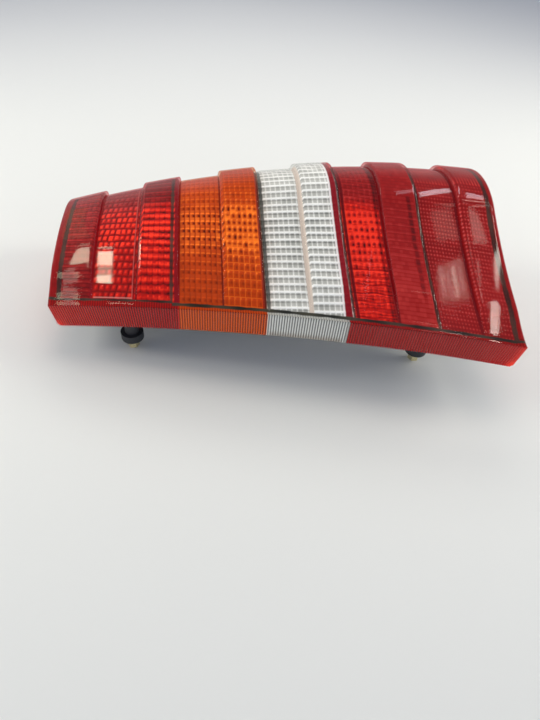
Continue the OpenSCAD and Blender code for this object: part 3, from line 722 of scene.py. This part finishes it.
def band_h(u, d):
    lit = along(d, (5, 0.62), (60, 0.66), (78, 0.54), (112, 0.58), (122, 0.66), (135, 0.46),
                (152, 0.34))
    deep = along(d, (5, 0.10), (40, 0.26), (66, 0.50), (80, 0.78), (112, 0.74), (124, 0.32),
                 (150, 0.12))
    t, relief = windows(u, d - 0.10 * u, lit, deep, 0.12, BAND_H_CELL)
    v = d - 0.06 * u + 0.9 * drift(u, d, 4.0)
    fine = line(v, 3.1, 2.0) * (0.6 + cells(u, v, 7.0, 3.1)) + 0.7 * line(v, 8.5, 3.2)
    low = 1 - smooth((d - 62) / 12)
    t = t - 0.34 * smooth((u - 31.5) / 2.0)
    t = t - 0.42 * low * fine + 0.16 * low * cells(u, v, 3.0, 3.1)
    t = t - 0.22 * smooth((d - 118) / 10) * line(d + 0.12 * u, 4.2, 1.9)
    rose = tone_map(ROSES, t + 0.12)
    return toward(tone_map(REDS, t), rose, smooth((d - 128) / 16)), relief


def band_i(u, d):
    """Fine rows, and a dark strip of small teeth near the cross line."""
    strip = np.clip(1.7 - np.abs(u - 27.0 - 0.4 * drift(u, d, 5.0)) / 1.5, 0, 1)
    strip = strip * smooth((d - 30) / 14) * (1 - smooth((d - 140) / 8))
    tooth = 0.35 + 0.65 * np.clip(2.2 * wave(d, 8.5) - 0.5, 0, 1)
    rows = line(d, 8.5, 1.8) * smooth((d - 66) / 15) * (1 - smooth((d - 128) / 16))
    t = along(d, (5, 0.64), (40, 0.64), (70, 0.56), (100, 0.50), (128, 0.50), (150, 0.50))
    t = t + 0.12 * rows - 0.12 * line(d + 0.4 * drift(u, d, 7.0), 4.2, 2.0)
    t = t + 0.12 * cells(u, d, 2.9, 4.2) - 0.34 * strip * tooth
    return tone_map(ROSES, t), 0.2 * rows


def band_jk(u, d):
    lit = along(d, (5, 0.46), (25, 0.52), (60, 0.52), (97, 0.46), (101, 0.52), (130, 0.52),
                (155, 0.50))
    shine = along(d, (5, 0.16), (60, 0.26), (90, 0.42), (130, 0.46), (155, 0.20))
    t, relief = dots(u, d, lit, shine)
    return tone_map(ROSES, t), relief


BAND_MAKERS = (
    band_a, band_b, band_c, band_d, band_e, band_clear, band_clear, band_h, band_i, band_jk,
    band_jk,
)


def patterns(x, d):
    """Relief in mm and colour of the inner surface."""
    i = band_of(x)
    relief = np.zeros_like(x)
    colour = np.zeros(x.shape + (3,))
    for band, maker in enumerate(BAND_MAKERS):
        at = i == band
        if at.any():
            colour[at], relief[at] = maker(x[at] - BAND_AT[band], d[at])
    return relief, colour


NARROW_LINE = 9.2
WIDE_LINE = LENGTH - 6.5
# Place of each cross line and how much wider than the lower line it is, on each side
CROSS_LINES = (
    (NARROW_LINE, 0.5), (112.3, 0.0), (198.1, 0.0), (272.2, -0.3), (345.4, 0.5), (WIDE_LINE, 0.6),
)


def bead_lines(x, d):
    """Distance to the nearest bead line, whether it is a cross line, and what they frame."""
    across = section(x, d)[0]
    away_from_all = 99.0
    near = np.where(x < PARTITIONS[0], INSET_UPPER, INSET_LOWER) + WALL_T / 2
    low = np.abs(across - near)
    cross = np.full_like(x, away_from_all)
    for p, wider in CROSS_LINES:
        away = np.maximum(np.abs(x - p) - wider, 0)
        cross = np.minimum(cross, np.where(across > near - 0.5, away, away_from_all))
    inside = (across > near) & (x > NARROW_LINE) & (x < WIDE_LINE)
    return low, cross, inside


def plain_tone(x, t):
    """Colour of the moulding at x."""
    out = np.empty(x.shape + (3,))
    zone = np.clip(np.searchsorted(JOINTS, x, side="right") - 1, 0, 3)
    for z, colours in enumerate((REDS, AMBERS, CLEARS, REDS)):
        out[zone == z] = tone_map(colours, t[zone == z])
    return out


# Seams that show through the lens, and one painted highlight: place, half width in mm and colour
CRIMSON = (0.22, 0.005, 0.012)
DARK_RED = (0.15, 0.003, 0.006)
SEAMS = (
    (38.9, 1.2, CRIMSON),
    # Pale line at band B's right edge: a painted highlight framing band B, not a seam
    (76.8, 0.35, (0.50, 0.13, 0.11)),
    (80.6, 0.8, DARK_RED),
    (117.3, 2.5, CRIMSON),
    (158.4, 0.8, (0.14, 0.014, 0.008)),
    (193.6, 0.7, (0.26, 0.016, 0.006)),
    (195.4, 1.0, (0.10, 0.010, 0.006)),
    (235.2, 2.0, (0.60, 0.50, 0.42)),
    (263.4, 0.9, (0.80, 0.75, 0.73)),
    (267.4, 3.1, CRIMSON),
    (275.3, 1.3, DARK_RED),
    (310.6, 1.3, DARK_RED),
    (382.2, 1.4, DARK_RED),
)


# Tones and places on the inner side, along the lamp
MARGIN_TONE = (
    (0, 0.13), (117, 0.13), (119, 0.27), (196, 0.27), (199, 0.24), (264, 0.24), (266, 0.13),
)
# The skirt's tone along the lamp follows each shot's colour; its rise at both ends is painted
# light on the end corners
SKIRT_TONE = (
    (0, 0.44), (12, 0.28), (60, 0.20), (117, 0.19), (119, 0.35), (196, 0.31), (199, 0.30),
    (264, 0.26), (266, 0.20), (380, 0.25), (410, 0.38), (418, 0.75),
)
SKIRT_SWING = (
    (0, 1.1), (60, 0.9), (118, 0.6), (119, 0.75), (196, 0.80), (199, 1.1), (264, 1.1),
    (266, 0.45), (418, 0.40),
)
BEAD_THINNER = ((0, 0.2), (100, 0.5), (112, 0.0), (418, 0.0))
CLEAR_SKIRT = (198, 262)
# Browner colour that the clear part of the skirt takes towards its foot
FOOT_BROWN = np.array([0.20, 0.15, 0.10])
# Painted highlight along the foot of band B, above the lower bead: middle and half length, and
# distance from the bead
B_HIGHLIGHT_MIDDLE = 59
B_HIGHLIGHT_HALF = 17.5
B_HIGHLIGHT_UP = 2.1
B_HIGHLIGHT_COLOUR = np.array([0.62, 0.30, 0.25])
# Grid of the inner side in mm, its gap to the closed ends, and its thinner parts
STEP = 0.5
FINE_TO = 168.0
END_GAP = 0.35
FAR_THINNER = 1.3
END_THINNER = 2.1
SKIRT_GAP = 1.2


def optics_stations(a, b):
    xs = [np.array([a, b])]
    for i in range(BANDS):
        lo, hi = max(a, BAND_AT[i]), min(b, BAND_AT[i + 1])
        if hi - lo > STEP:
            xs.append(np.linspace(lo, hi, int(round((hi - lo) / STEP)) + 1))
    return np.unique(np.round(np.concatenate(xs), 4))


def optics_tones(x, d, colour, low, cross, inside):
    """Colour of the inner side: margins, then seams, then a painted highlight along the foot of
    band B, and the bead.
    """
    flute = line(x, FLUTE_PITCH, 1.5)
    margin = along(x, *MARGIN_TONE)
    # The flute stripes are the margin's own; the darker line along the crease is painted shade
    margin = margin + 0.30 * flute * (d < 8) - 0.12 * np.clip(1 - np.abs(d - 0.4) / 0.9, 0, 1)
    rim = plain_tone(x, margin)
    rim = toward(rim, tone_map(ROSES, 0.46 + 0.1 * cells(x, d, 3.0, 5.0)), d > 9.0)
    colour = np.where(inside[..., None], colour, rim)
    for seam_at, seam_half, shade in SEAMS:
        seam = np.clip((seam_half - np.abs(x - seam_at)) / 0.5 + 0.5, 0, 1) * inside
        colour = toward(colour, np.array(shade), seam)
    # Painted highlight: a pale line on band B's lower edge, just above the bead
    b_highlight = np.clip((0.5 - np.abs(low - B_HIGHLIGHT_UP)) / 0.4 + 0.5, 0, 1) * inside
    b_highlight = b_highlight * (np.abs(x - B_HIGHLIGHT_MIDDLE) < B_HIGHLIGHT_HALF)
    colour = toward(colour, B_HIGHLIGHT_COLOUR, 0.8 * b_highlight)
    waver = 0.35 * np.sin(x / 3.1) * np.sin(x / 7.7 + 1) + 0.3 * np.sin(d / 5.3) * np.sin(d / 2.3)
    thick = BEAD_HALF + waver - along(x, *BEAD_THINNER) * (low < 3)
    bead = np.clip((thick + 0.3 - np.minimum(low, cross)) / 0.6, 0, 1)
    bead = bead * np.where(cross < low, 0.88, 1.0)
    # The bead's black is a little lighter in slow waves along it
    bead_lighten = 0.5 + 0.5 * np.sin(d / 9.0 + x / 6.0)
    black = BLACK + np.array([0.035, 0.030, 0.020]) * bead_lighten[..., None]
    return toward(colour, black, bead)


def optics_end(name, at, edge):
    """Wall behind a closed end, from the face's edge down to the foot."""
    level_z = edge_z(np.array(float(at)))
    top = edge[edge[:, 2] / MM >= level_z - 0.01]
    level = top.copy()
    level[:, 2] = level_z * MM
    foot = level.copy()
    down = float(skirt_height(np.array(float(at)))) - 0.5
    foot[:, 0] += (END_LEAN if at == 0 else -END_LEAN) * down / SKIRT_H * MM
    foot[:, 2] = (level_z - down) * MM
    steps = [top + (level - top) * t for t in np.linspace(0, 1, 5)]
    steps += [level + (foot - level) * t for t in np.linspace(0.1, 1, 10)]
    wall = np.stack(steps)
    # Painted light: the end wall brightens towards its foot
    t = np.array([0.24] * 5 + list(np.linspace(0.3, 0.85, 10)))[:, None] + 0 * wall[..., 0]
    return grid_mesh(name + "_end", wall, tone_map(REDS, t), flip=(at == 0))


def optics_skirt(name, a, b, lo, hi):
    """Wall behind the fluted skirt, with a stripe for each flute."""
    n = int(round((hi - lo) / FLUTE_PITCH * FLUTE_STEPS)) + 1
    xs = np.linspace(lo, hi, n)
    d = np.stack([0 * xs - (skirt_height(xs) - 0.4) * t for t in np.linspace(0, 1, 13)])
    x = np.broadcast_to(xs, d.shape).copy()
    flute = 0.5 + 0.5 * np.cos(2 * math.pi * x / FLUTE_PITCH)
    sharp = 0.5 + 0.5 * np.tanh(2.0 * (flute - 0.5))
    ends = 1 - smooth(np.minimum(x, LENGTH - x) / 12.0)
    # Painted light: the skirt is brighter low down near both closed ends
    glow = 0.30 * ends * smooth((-d - 14) / 9)
    # Painted shade: the skirt is darker just under the crease
    crease_shade = 0.14 * smooth((d + 2.5) / 1.5)
    swing = along(x, *SKIRT_SWING) * (sharp - 0.42) * (1 - 0.6 * ends)
    colour = plain_tone(x, along(x, *SKIRT_TONE) + swing + glow - crease_shade)
    # The clear part of the skirt turns darker and browner towards its foot
    clear_stretch = smooth((x - CLEAR_SKIRT[0]) / 2) * (1 - smooth((x - CLEAR_SKIRT[1]) / 2))
    colour = toward(colour, FOOT_BROWN, 0.6 * smooth((-d - 17) / 7) * clear_stretch)
    across = near_y(x) + SKIRT_GAP - 0.5 * flute
    points = np.stack([leaned(x, a, b, d) + SHIFT_X, across + SHIFT_Y, edge_z(x) + d], -1) * MM
    return grid_mesh(name + "_skirt", points, colour, flip=True)


def optics_piece(name, a, b, material):
    """Inner side of one shot of the lens, from a to b."""
    lo = a + END_GAP if a == 0 else a
    hi = b - END_GAP if b == LENGTH else b
    xs = optics_stations(lo, hi)
    upper, total = section_length(xs)
    fine = np.arange(0.6, FINE_TO, STEP)
    d = np.stack([t + 0 * xs for t in fine]
                 + [FINE_TO + (upper - FINE_TO) * t for t in np.linspace(0, 1, 22)]
                 + [upper + (total - upper) * t for t in (0.15, 0.3, 0.5, 0.75, 1)])
    x = np.broadcast_to(xs, d.shape).copy()
    relief, colour = patterns(x, d)
    low, cross, inside = bead_lines(x, d)
    colour = optics_tones(x, d, colour, low, cross, inside)
    # The relief fades out at the bead, at the bands' steps and over the far edge
    step = np.min(np.abs(x[..., None] - BAND_AT), -1)
    relief = relief * smooth((np.minimum(low, cross) - 1.8) / 1.2) * inside
    relief = relief * smooth((step - 1.6) / 2.4) * 0.8 * (1 - 0.6 * smooth((d - 125) / 25))
    closed = 1 - smooth((np.minimum(x, LENGTH - x) - 2) / 7)
    thin = LENS_WALL - np.maximum(FAR_THINNER * smooth((d - 130) / 25), END_THINNER * closed)
    share = inner_share(x) + (outer_share(x) - inner_share(x)) * closed
    _, up, _, _ = section(x, d)
    points = skin(leaned(x, a, b, up), d, thin + end_round(x, a, b) - relief, share)
    things = [grid_mesh(name + "_face", points, colour)]
    if a == 0:
        things.append(optics_end(name, a, points[:, 0]))
    if b == LENGTH:
        things.append(optics_end(name, b, points[:, -1]))
    things.append(optics_skirt(name, a, b, lo, hi))
    piece = joined(name, things)
    piece.data.materials.clear()
    piece.data.materials.append(material)
    return piece


RED_SKIN = plastic_skin("red_skin", (0.97, 0.84, 0.84), (0.70, 0.02, 0.03), 0.05)
AMBER_SKIN = plastic_skin("amber_skin", (0.98, 0.90, 0.80), (0.80, 0.25, 0.03), 0.05)
CLEAR_SKIN = plastic_skin("clear_skin", (0.98, 0.98, 0.97), (0.85, 0.84, 0.82), 0.05)
OPTICS = optics("moulded_optics", 0.35, 0.0)

SHOTS = (
    ("lens_red_upper", RED_SKIN, "red_lens"),
    ("lens_amber", AMBER_SKIN, "amber_lens"),
    ("lens_clear", CLEAR_SKIN, "clear_lens"),
    ("lens_red_lower", RED_SKIN, "red_lens"),
)
for k, (node, skin_material, slot) in enumerate(SHOTS):
    outer = skin_piece(node + "_skin", JOINTS[k], JOINTS[k + 1], skin_material)
    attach(outer, "root")
    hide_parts(node)
REFLEX_FROM = BAND_AT[9]
INNER = (
    ("lens_red_upper_optics", JOINTS[0], JOINTS[1], "red_lens"),
    ("lens_amber_optics", JOINTS[1], JOINTS[2], "amber_lens"),
    ("lens_clear_optics", JOINTS[2], JOINTS[3], "clear_lens"),
    ("lens_red_lower_optics", JOINTS[3], REFLEX_FROM, "red_lens"),
    ("reflex_optics", REFLEX_FROM, LENGTH, "reflex_red"),
)
for piece_name, start, end, slot in INNER:
    inner = optics_piece(piece_name, start, end, OPTICS)
    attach(inner, "root")

# Finishes of the CAD nodes
FINISHES = {
    "seal_bead": noisy("sealant", (0.012, 0.012, 0.013), 0.35),
    "reflex_plate": noisy("reflex_red", (0.25, 0.01, 0.015), 0.25),
    "housing": noisy("housing_plastic", (0.03, 0.03, 0.033), 0.5),
    "bulb_carrier": noisy("carrier_plastic", (0.5, 0.5, 0.47), 0.45),
    "carrier_seal": noisy("seal_rubber", (0.015, 0.015, 0.017), 0.7),
    "stud_rings": noisy("ring_rubber", (0.022, 0.023, 0.026), 0.55),
    "studs": noisy("stud_zinc", (0.56, 0.54, 0.48), 0.3, 1.0),
    "stud_nuts": noisy("nut_zinc", (0.82, 0.72, 0.42), 0.28, 1.0),
    "carrier_screws": noisy("screw_zinc", (0.55, 0.5, 0.36), 0.3, 1.0),
    "connector_shell": noisy("connector_plastic", (0.02, 0.02, 0.022), 0.4),
    "connector_pins": noisy("pin_brass", (0.6, 0.45, 0.2), 0.3, 1.0),
    "earth_strip": noisy("strip_brass", (0.6, 0.45, 0.2), 0.35, 1.0),
}
MIRROR = noisy("mirror_metal", (0.85, 0.85, 0.87), 0.12, 1.0)
CAP_BRASS = noisy("cap_brass", (0.62, 0.46, 0.2), 0.3, 1.0)
GLASS, tree, out = new_material("bulb_glass")
glass = tree.nodes.new("ShaderNodeBsdfPrincipled")
glass.inputs["Base Color"].default_value = (0.95, 0.96, 0.97, 1)
glass.inputs["Roughness"].default_value = 0.03
glass.inputs["Transmission Weight"].default_value = 1.0
tree.links.new(glass.outputs["BSDF"], out.inputs["Surface"])
for node, thing in nodes.items():
    if node in FINISHES:
        finish = FINISHES[node]
    elif node.startswith("reflector"):
        finish = MIRROR
    elif node.endswith("_cap"):
        finish = CAP_BRASS
    elif node.endswith("_glass"):
        finish = GLASS
    elif node.startswith("feed_strip"):
        finish = FINISHES["earth_strip"]
    else:
        continue
    thing.data.materials.clear()
    thing.data.materials.append(finish)

# Table, light, world. The table is painted a little darker far behind the lamp: painted shade
TABLE_PAINTED_SHADE = (0.45, 1.05)
floor_mesh = bpy.data.meshes.new("table")
floor_mesh.from_pydata(
    [(-4, -3, 0), (4, -3, 0), (4, 6, 0), (-4, 6, 0)], [], [(0, 1, 2, 3)])
floor = bpy.data.objects.new("table", floor_mesh)
bpy.context.scene.collection.objects.link(floor)
paper, tree, out = new_material("table_top")
base = tree.nodes.new("ShaderNodeBsdfPrincipled")
base.inputs["Roughness"].default_value = 0.6
place = tree.nodes.new("ShaderNodeTexCoord")
split = tree.nodes.new("ShaderNodeSeparateXYZ")
reach = tree.nodes.new("ShaderNodeMapRange")
reach.inputs["From Min"].default_value = TABLE_PAINTED_SHADE[0]
reach.inputs["From Max"].default_value = TABLE_PAINTED_SHADE[1]
shade = tree.nodes.new("ShaderNodeValToRGB")
shade.color_ramp.elements[0].color = (0.80, 0.80, 0.755, 1)
shade.color_ramp.elements[1].color = (0.72, 0.72, 0.70, 1)
tree.links.new(place.outputs["Object"], split.inputs["Vector"])
tree.links.new(split.outputs["Y"], reach.inputs["Value"])
tree.links.new(reach.outputs["Result"], shade.inputs["Fac"])
tree.links.new(shade.outputs["Color"], base.inputs["Base Color"])
tree.links.new(base.outputs["BSDF"], out.inputs["Surface"])
floor_mesh.materials.append(paper)


def square_light(name, at, to, wide, tall, energy, colour=(1.0, 0.97, 0.88)):
    """Soft light that fills the room but isn't mirrored in the lens."""
    data = bpy.data.lights.new(name, "AREA")
    data.shape = "RECTANGLE"
    data.size = wide
    data.size_y = tall
    data.energy = energy
    data.color = colour
    thing = bpy.data.objects.new(name, data)
    thing.location = at
    thing.rotation_euler = (Vector(to) - Vector(at)).to_track_quat("-Z", "Y").to_euler()
    thing.visible_glossy = False
    bpy.context.scene.collection.objects.link(thing)
    return thing


LAMP = (0.0, 0.0, 0.06)
LIGHTS = (
    ("overhead", (0.05, 0.30, 1.35), 0.7, 0.6, 3.6),
    ("back", (0.05, 1.10, 1.00), 1.1, 0.5, 5.2),
    ("left", (-1.20, 0.15, 0.85), 0.6, 0.6, 7.6),
    ("right", (1.20, 0.15, 0.85), 0.6, 0.6, 7.6),
    ("left_low", (-1.20, -0.15, 0.30), 0.5, 0.3, 2.6),
    ("right_low", (1.20, -0.15, 0.30), 0.5, 0.3, 3.2),
)
for light_name, spot_at, light_wide, light_tall, light_power in LIGHTS:
    square_light(light_name, spot_at, LAMP, light_wide, light_tall, light_power)

# Bright panes of the room that the gloss mirrors: strength, colour and corners
WINDOW = (1.0, 0.98, 0.74)
DAYLIGHT = (1.0, 0.95, 0.84)
LAVENDER = (0.93, 0.92, 1.0)
LEAF = (0.88, 1.0, 0.70)
PANES = (
    # Windows mirrored in bands B and A
    (20.0, WINDOW, ((-0.833, 0.795, 1.167), (-0.780, 0.767, 1.210), (-0.793, 0.622, 1.275),
                   (-0.849, 0.645, 1.238))),
    (7.0, WINDOW, ((-0.849, 0.645, 1.238), (-0.793, 0.622, 1.275), (-0.808, 0.520, 1.308),
                   (-0.865, 0.536, 1.275))),
    (20.0, WINDOW, ((-0.865, 0.536, 1.275), (-0.808, 0.520, 1.308), (-0.822, 0.440, 1.327),
                   (-0.881, 0.451, 1.296))),
    (9.0, WINDOW, ((-0.826, 0.849, 1.136), (-0.781, 0.817, 1.180), (-0.777, 0.787, 1.200),
                   (-0.831, 0.823, 1.150))),
    (11.0, WINDOW, ((-0.901, 0.843, 1.101), (-0.858, 0.832, 1.133), (-0.881, 0.664, 1.216),
                   (-0.959, 0.648, 1.182))),
    (4.0, WINDOW, ((-0.882, 0.893, 1.077), (-0.855, 0.873, 1.107), (-0.856, 0.855, 1.118),
                   (-0.906, 0.866, 1.082))),
    # Pale things mirrored near the narrow end and its crease
    (3.0, DAYLIGHT, ((-1.004, 0.478, 1.235), (-0.960, 0.529, 1.239), (-1.060, -0.035, 1.284),
                     (-1.118, -0.033, 1.247))),
    (4.5, LEAF, ((-1.122, 0.060, 1.240), (-1.093, 0.028, 1.259), (-1.047, 0.257, 1.253),
                 (-1.082, 0.258, 1.232))),
    (6.0, WINDOW, ((-1.089, 0.007, 1.263), (-1.039, 0.038, 1.290), (-0.995, 0.256, 1.282),
                   (-1.035, 0.257, 1.260))),
    (5.0, WINDOW, ((-0.876, 0.251, 1.343), (-0.765, 0.246, 1.391), (-0.768, 0.235, 1.392),
                   (-0.879, 0.237, 1.343))),
    # Window mirrored in bands J and K, with its streaks
    (2.2, DAYLIGHT, ((0.642, 0.182, 1.496), (0.743, 0.130, 1.480), (0.807, 0.194, 1.418),
                     (0.683, 0.217, 1.454))),
    (7.0, DAYLIGHT, ((0.652, 0.177, 1.494), (0.662, 0.172, 1.493),
                     (0.701, 0.201, 1.457), (0.689, 0.204, 1.460))),
    (5.0, DAYLIGHT, ((0.686, 0.176, 1.479), (0.695, 0.173, 1.477),
                     (0.738, 0.207, 1.438), (0.728, 0.209, 1.441))),
    (9.0, DAYLIGHT, ((0.700, 0.160, 1.482), (0.714, 0.153, 1.480),
                     (0.764, 0.195, 1.434), (0.747, 0.199, 1.439))),
    (6.0, DAYLIGHT, ((0.721, 0.141, 1.484), (0.729, 0.137, 1.482),
                     (0.782, 0.184, 1.434), (0.773, 0.186, 1.436))),
    (2.6, DAYLIGHT, ((0.802, 0.126, 1.462), (0.813, 0.120, 1.459), (0.850, 0.179, 1.413),
                     (0.842, 0.183, 1.415))),
    (13.0, DAYLIGHT, ((0.864, 0.096, 1.415), (0.907, 0.167, 1.384), (0.823, -0.325, 1.425),
                     (0.784, -0.328, 1.439))),
    (20.0, DAYLIGHT, ((0.784, -0.328, 1.439), (0.823, -0.325, 1.425), (0.854, -0.159, 1.423),
                      (0.837, -0.070, 1.427))),
    # Strips of sky mirrored along the far edge
    (3.0, LAVENDER, ((0.372, 0.430, 1.557), (0.474, 0.558, 1.498), (0.453, 0.423, 1.545),
                     (0.350, 0.274, 1.593))),
    (10.0, LAVENDER, ((0.523, 0.581, 1.475), (0.632, 0.759, 1.358), (0.592, 0.497, 1.488),
                      (0.488, 0.344, 1.555))),
    (9.0, LAVENDER, ((0.632, 0.759, 1.358), (0.712, 0.821, 1.291), (0.687, 0.655, 1.395),
                     (0.592, 0.497, 1.488))),
    (8.0, LAVENDER, ((0.745, 0.553, 1.423), (0.813, 0.442, 1.437), (0.789, 0.269, 1.490),
                     (0.708, 0.289, 1.513))),
    # Haze
    (0.9, WINDOW, ((-0.871, 1.360, 0.483), (-0.828, 1.312, 0.633), (-0.853, 0.951, 1.049),
                   (-0.938, 0.989, 0.961))),
    (1.3, DAYLIGHT, ((0.519, 0.092, 1.576), (0.604, 0.040, 1.562), (0.708, 0.093, 1.509),
                     (0.612, 0.138, 1.529))),
    (3.0, DAYLIGHT, ((0.681, 0.009, 1.547), (0.748, 0.012, 1.527), (0.832, 0.071, 1.469),
                     (0.775, 0.095, 1.486))),
)
panes_mesh = bpy.data.meshes.new("panes")
panes_mesh.from_pydata(
    [p for _, _, corners in PANES for p in corners], [],
    [[4 * k, 4 * k + 1, 4 * k + 2, 4 * k + 3] for k in range(len(PANES))])
layer = panes_mesh.color_attributes.new("tone", "FLOAT_COLOR", "POINT")
layer.data.foreach_set("color", np.array(
    [(*[strength * c for c in colour], 1) for strength, colour, _ in PANES for _ in range(4)],
    np.float32).ravel())
panes = bpy.data.objects.new("panes", panes_mesh)
bpy.context.scene.collection.objects.link(panes)
glow, tree, out = new_material("pane_glow")
tone = tree.nodes.new("ShaderNodeAttribute")
tone.attribute_name = "tone"
emit = tree.nodes.new("ShaderNodeEmission")
tree.links.new(tone.outputs["Color"], emit.inputs["Color"])
tree.links.new(emit.outputs["Emission"], out.inputs["Surface"])
panes_mesh.materials.append(glow)
panes.visible_camera = False
panes.visible_diffuse = False
panes.visible_transmission = False
panes.visible_shadow = False

# Room: pale walls near the horizon, a darker ceiling
world = bpy.data.worlds.new("room")
world.use_nodes = True
tree = world.node_tree
place = tree.nodes.new("ShaderNodeTexCoord")
split = tree.nodes.new("ShaderNodeSeparateXYZ")
ramp = tree.nodes.new("ShaderNodeValToRGB")
tree.links.new(place.outputs["Generated"], split.inputs["Vector"])
tree.links.new(split.outputs["Z"], ramp.inputs["Fac"])
ROOM = (
    (0.0, (0.80, 0.80, 0.80)), (0.30, (0.84, 0.84, 0.83)), (0.48, (0.56, 0.57, 0.58)),
    (0.70, (0.17, 0.175, 0.19)), (1.0, (0.12, 0.125, 0.14)),
)
ramp.color_ramp.elements[0].position = ROOM[0][0]
ramp.color_ramp.elements[1].position = ROOM[-1][0]
for at, _ in ROOM[1:-1]:
    ramp.color_ramp.elements.new(at)
for element, (_, shade) in zip(ramp.color_ramp.elements, ROOM):
    element.color = (*shade, 1)
# The light that falls on the table is bluer than what the gloss mirrors
path = tree.nodes.new("ShaderNodeLightPath")
cool = tree.nodes.new("ShaderNodeMix")
cool.data_type = "RGBA"
cool.inputs["A"].default_value = (0.81, 0.90, 1.17, 1)
cool.inputs["B"].default_value = (1, 1, 1, 1)
tinted = tree.nodes.new("ShaderNodeMix")
tinted.data_type = "RGBA"
tinted.blend_type = "MULTIPLY"
tinted.inputs["Factor"].default_value = 1.0
tree.links.new(path.outputs["Is Glossy Ray"], cool.inputs["Factor"])
tree.links.new(ramp.outputs["Color"], tinted.inputs["A"])
tree.links.new(cool.outputs["Result"], tinted.inputs["B"])
tree.links.new(tinted.outputs["Result"], tree.nodes["Background"].inputs["Color"])
tree.nodes["Background"].inputs["Strength"].default_value = 1.0
bpy.context.scene.world = world
bpy.context.scene.view_settings.view_transform = "Standard"
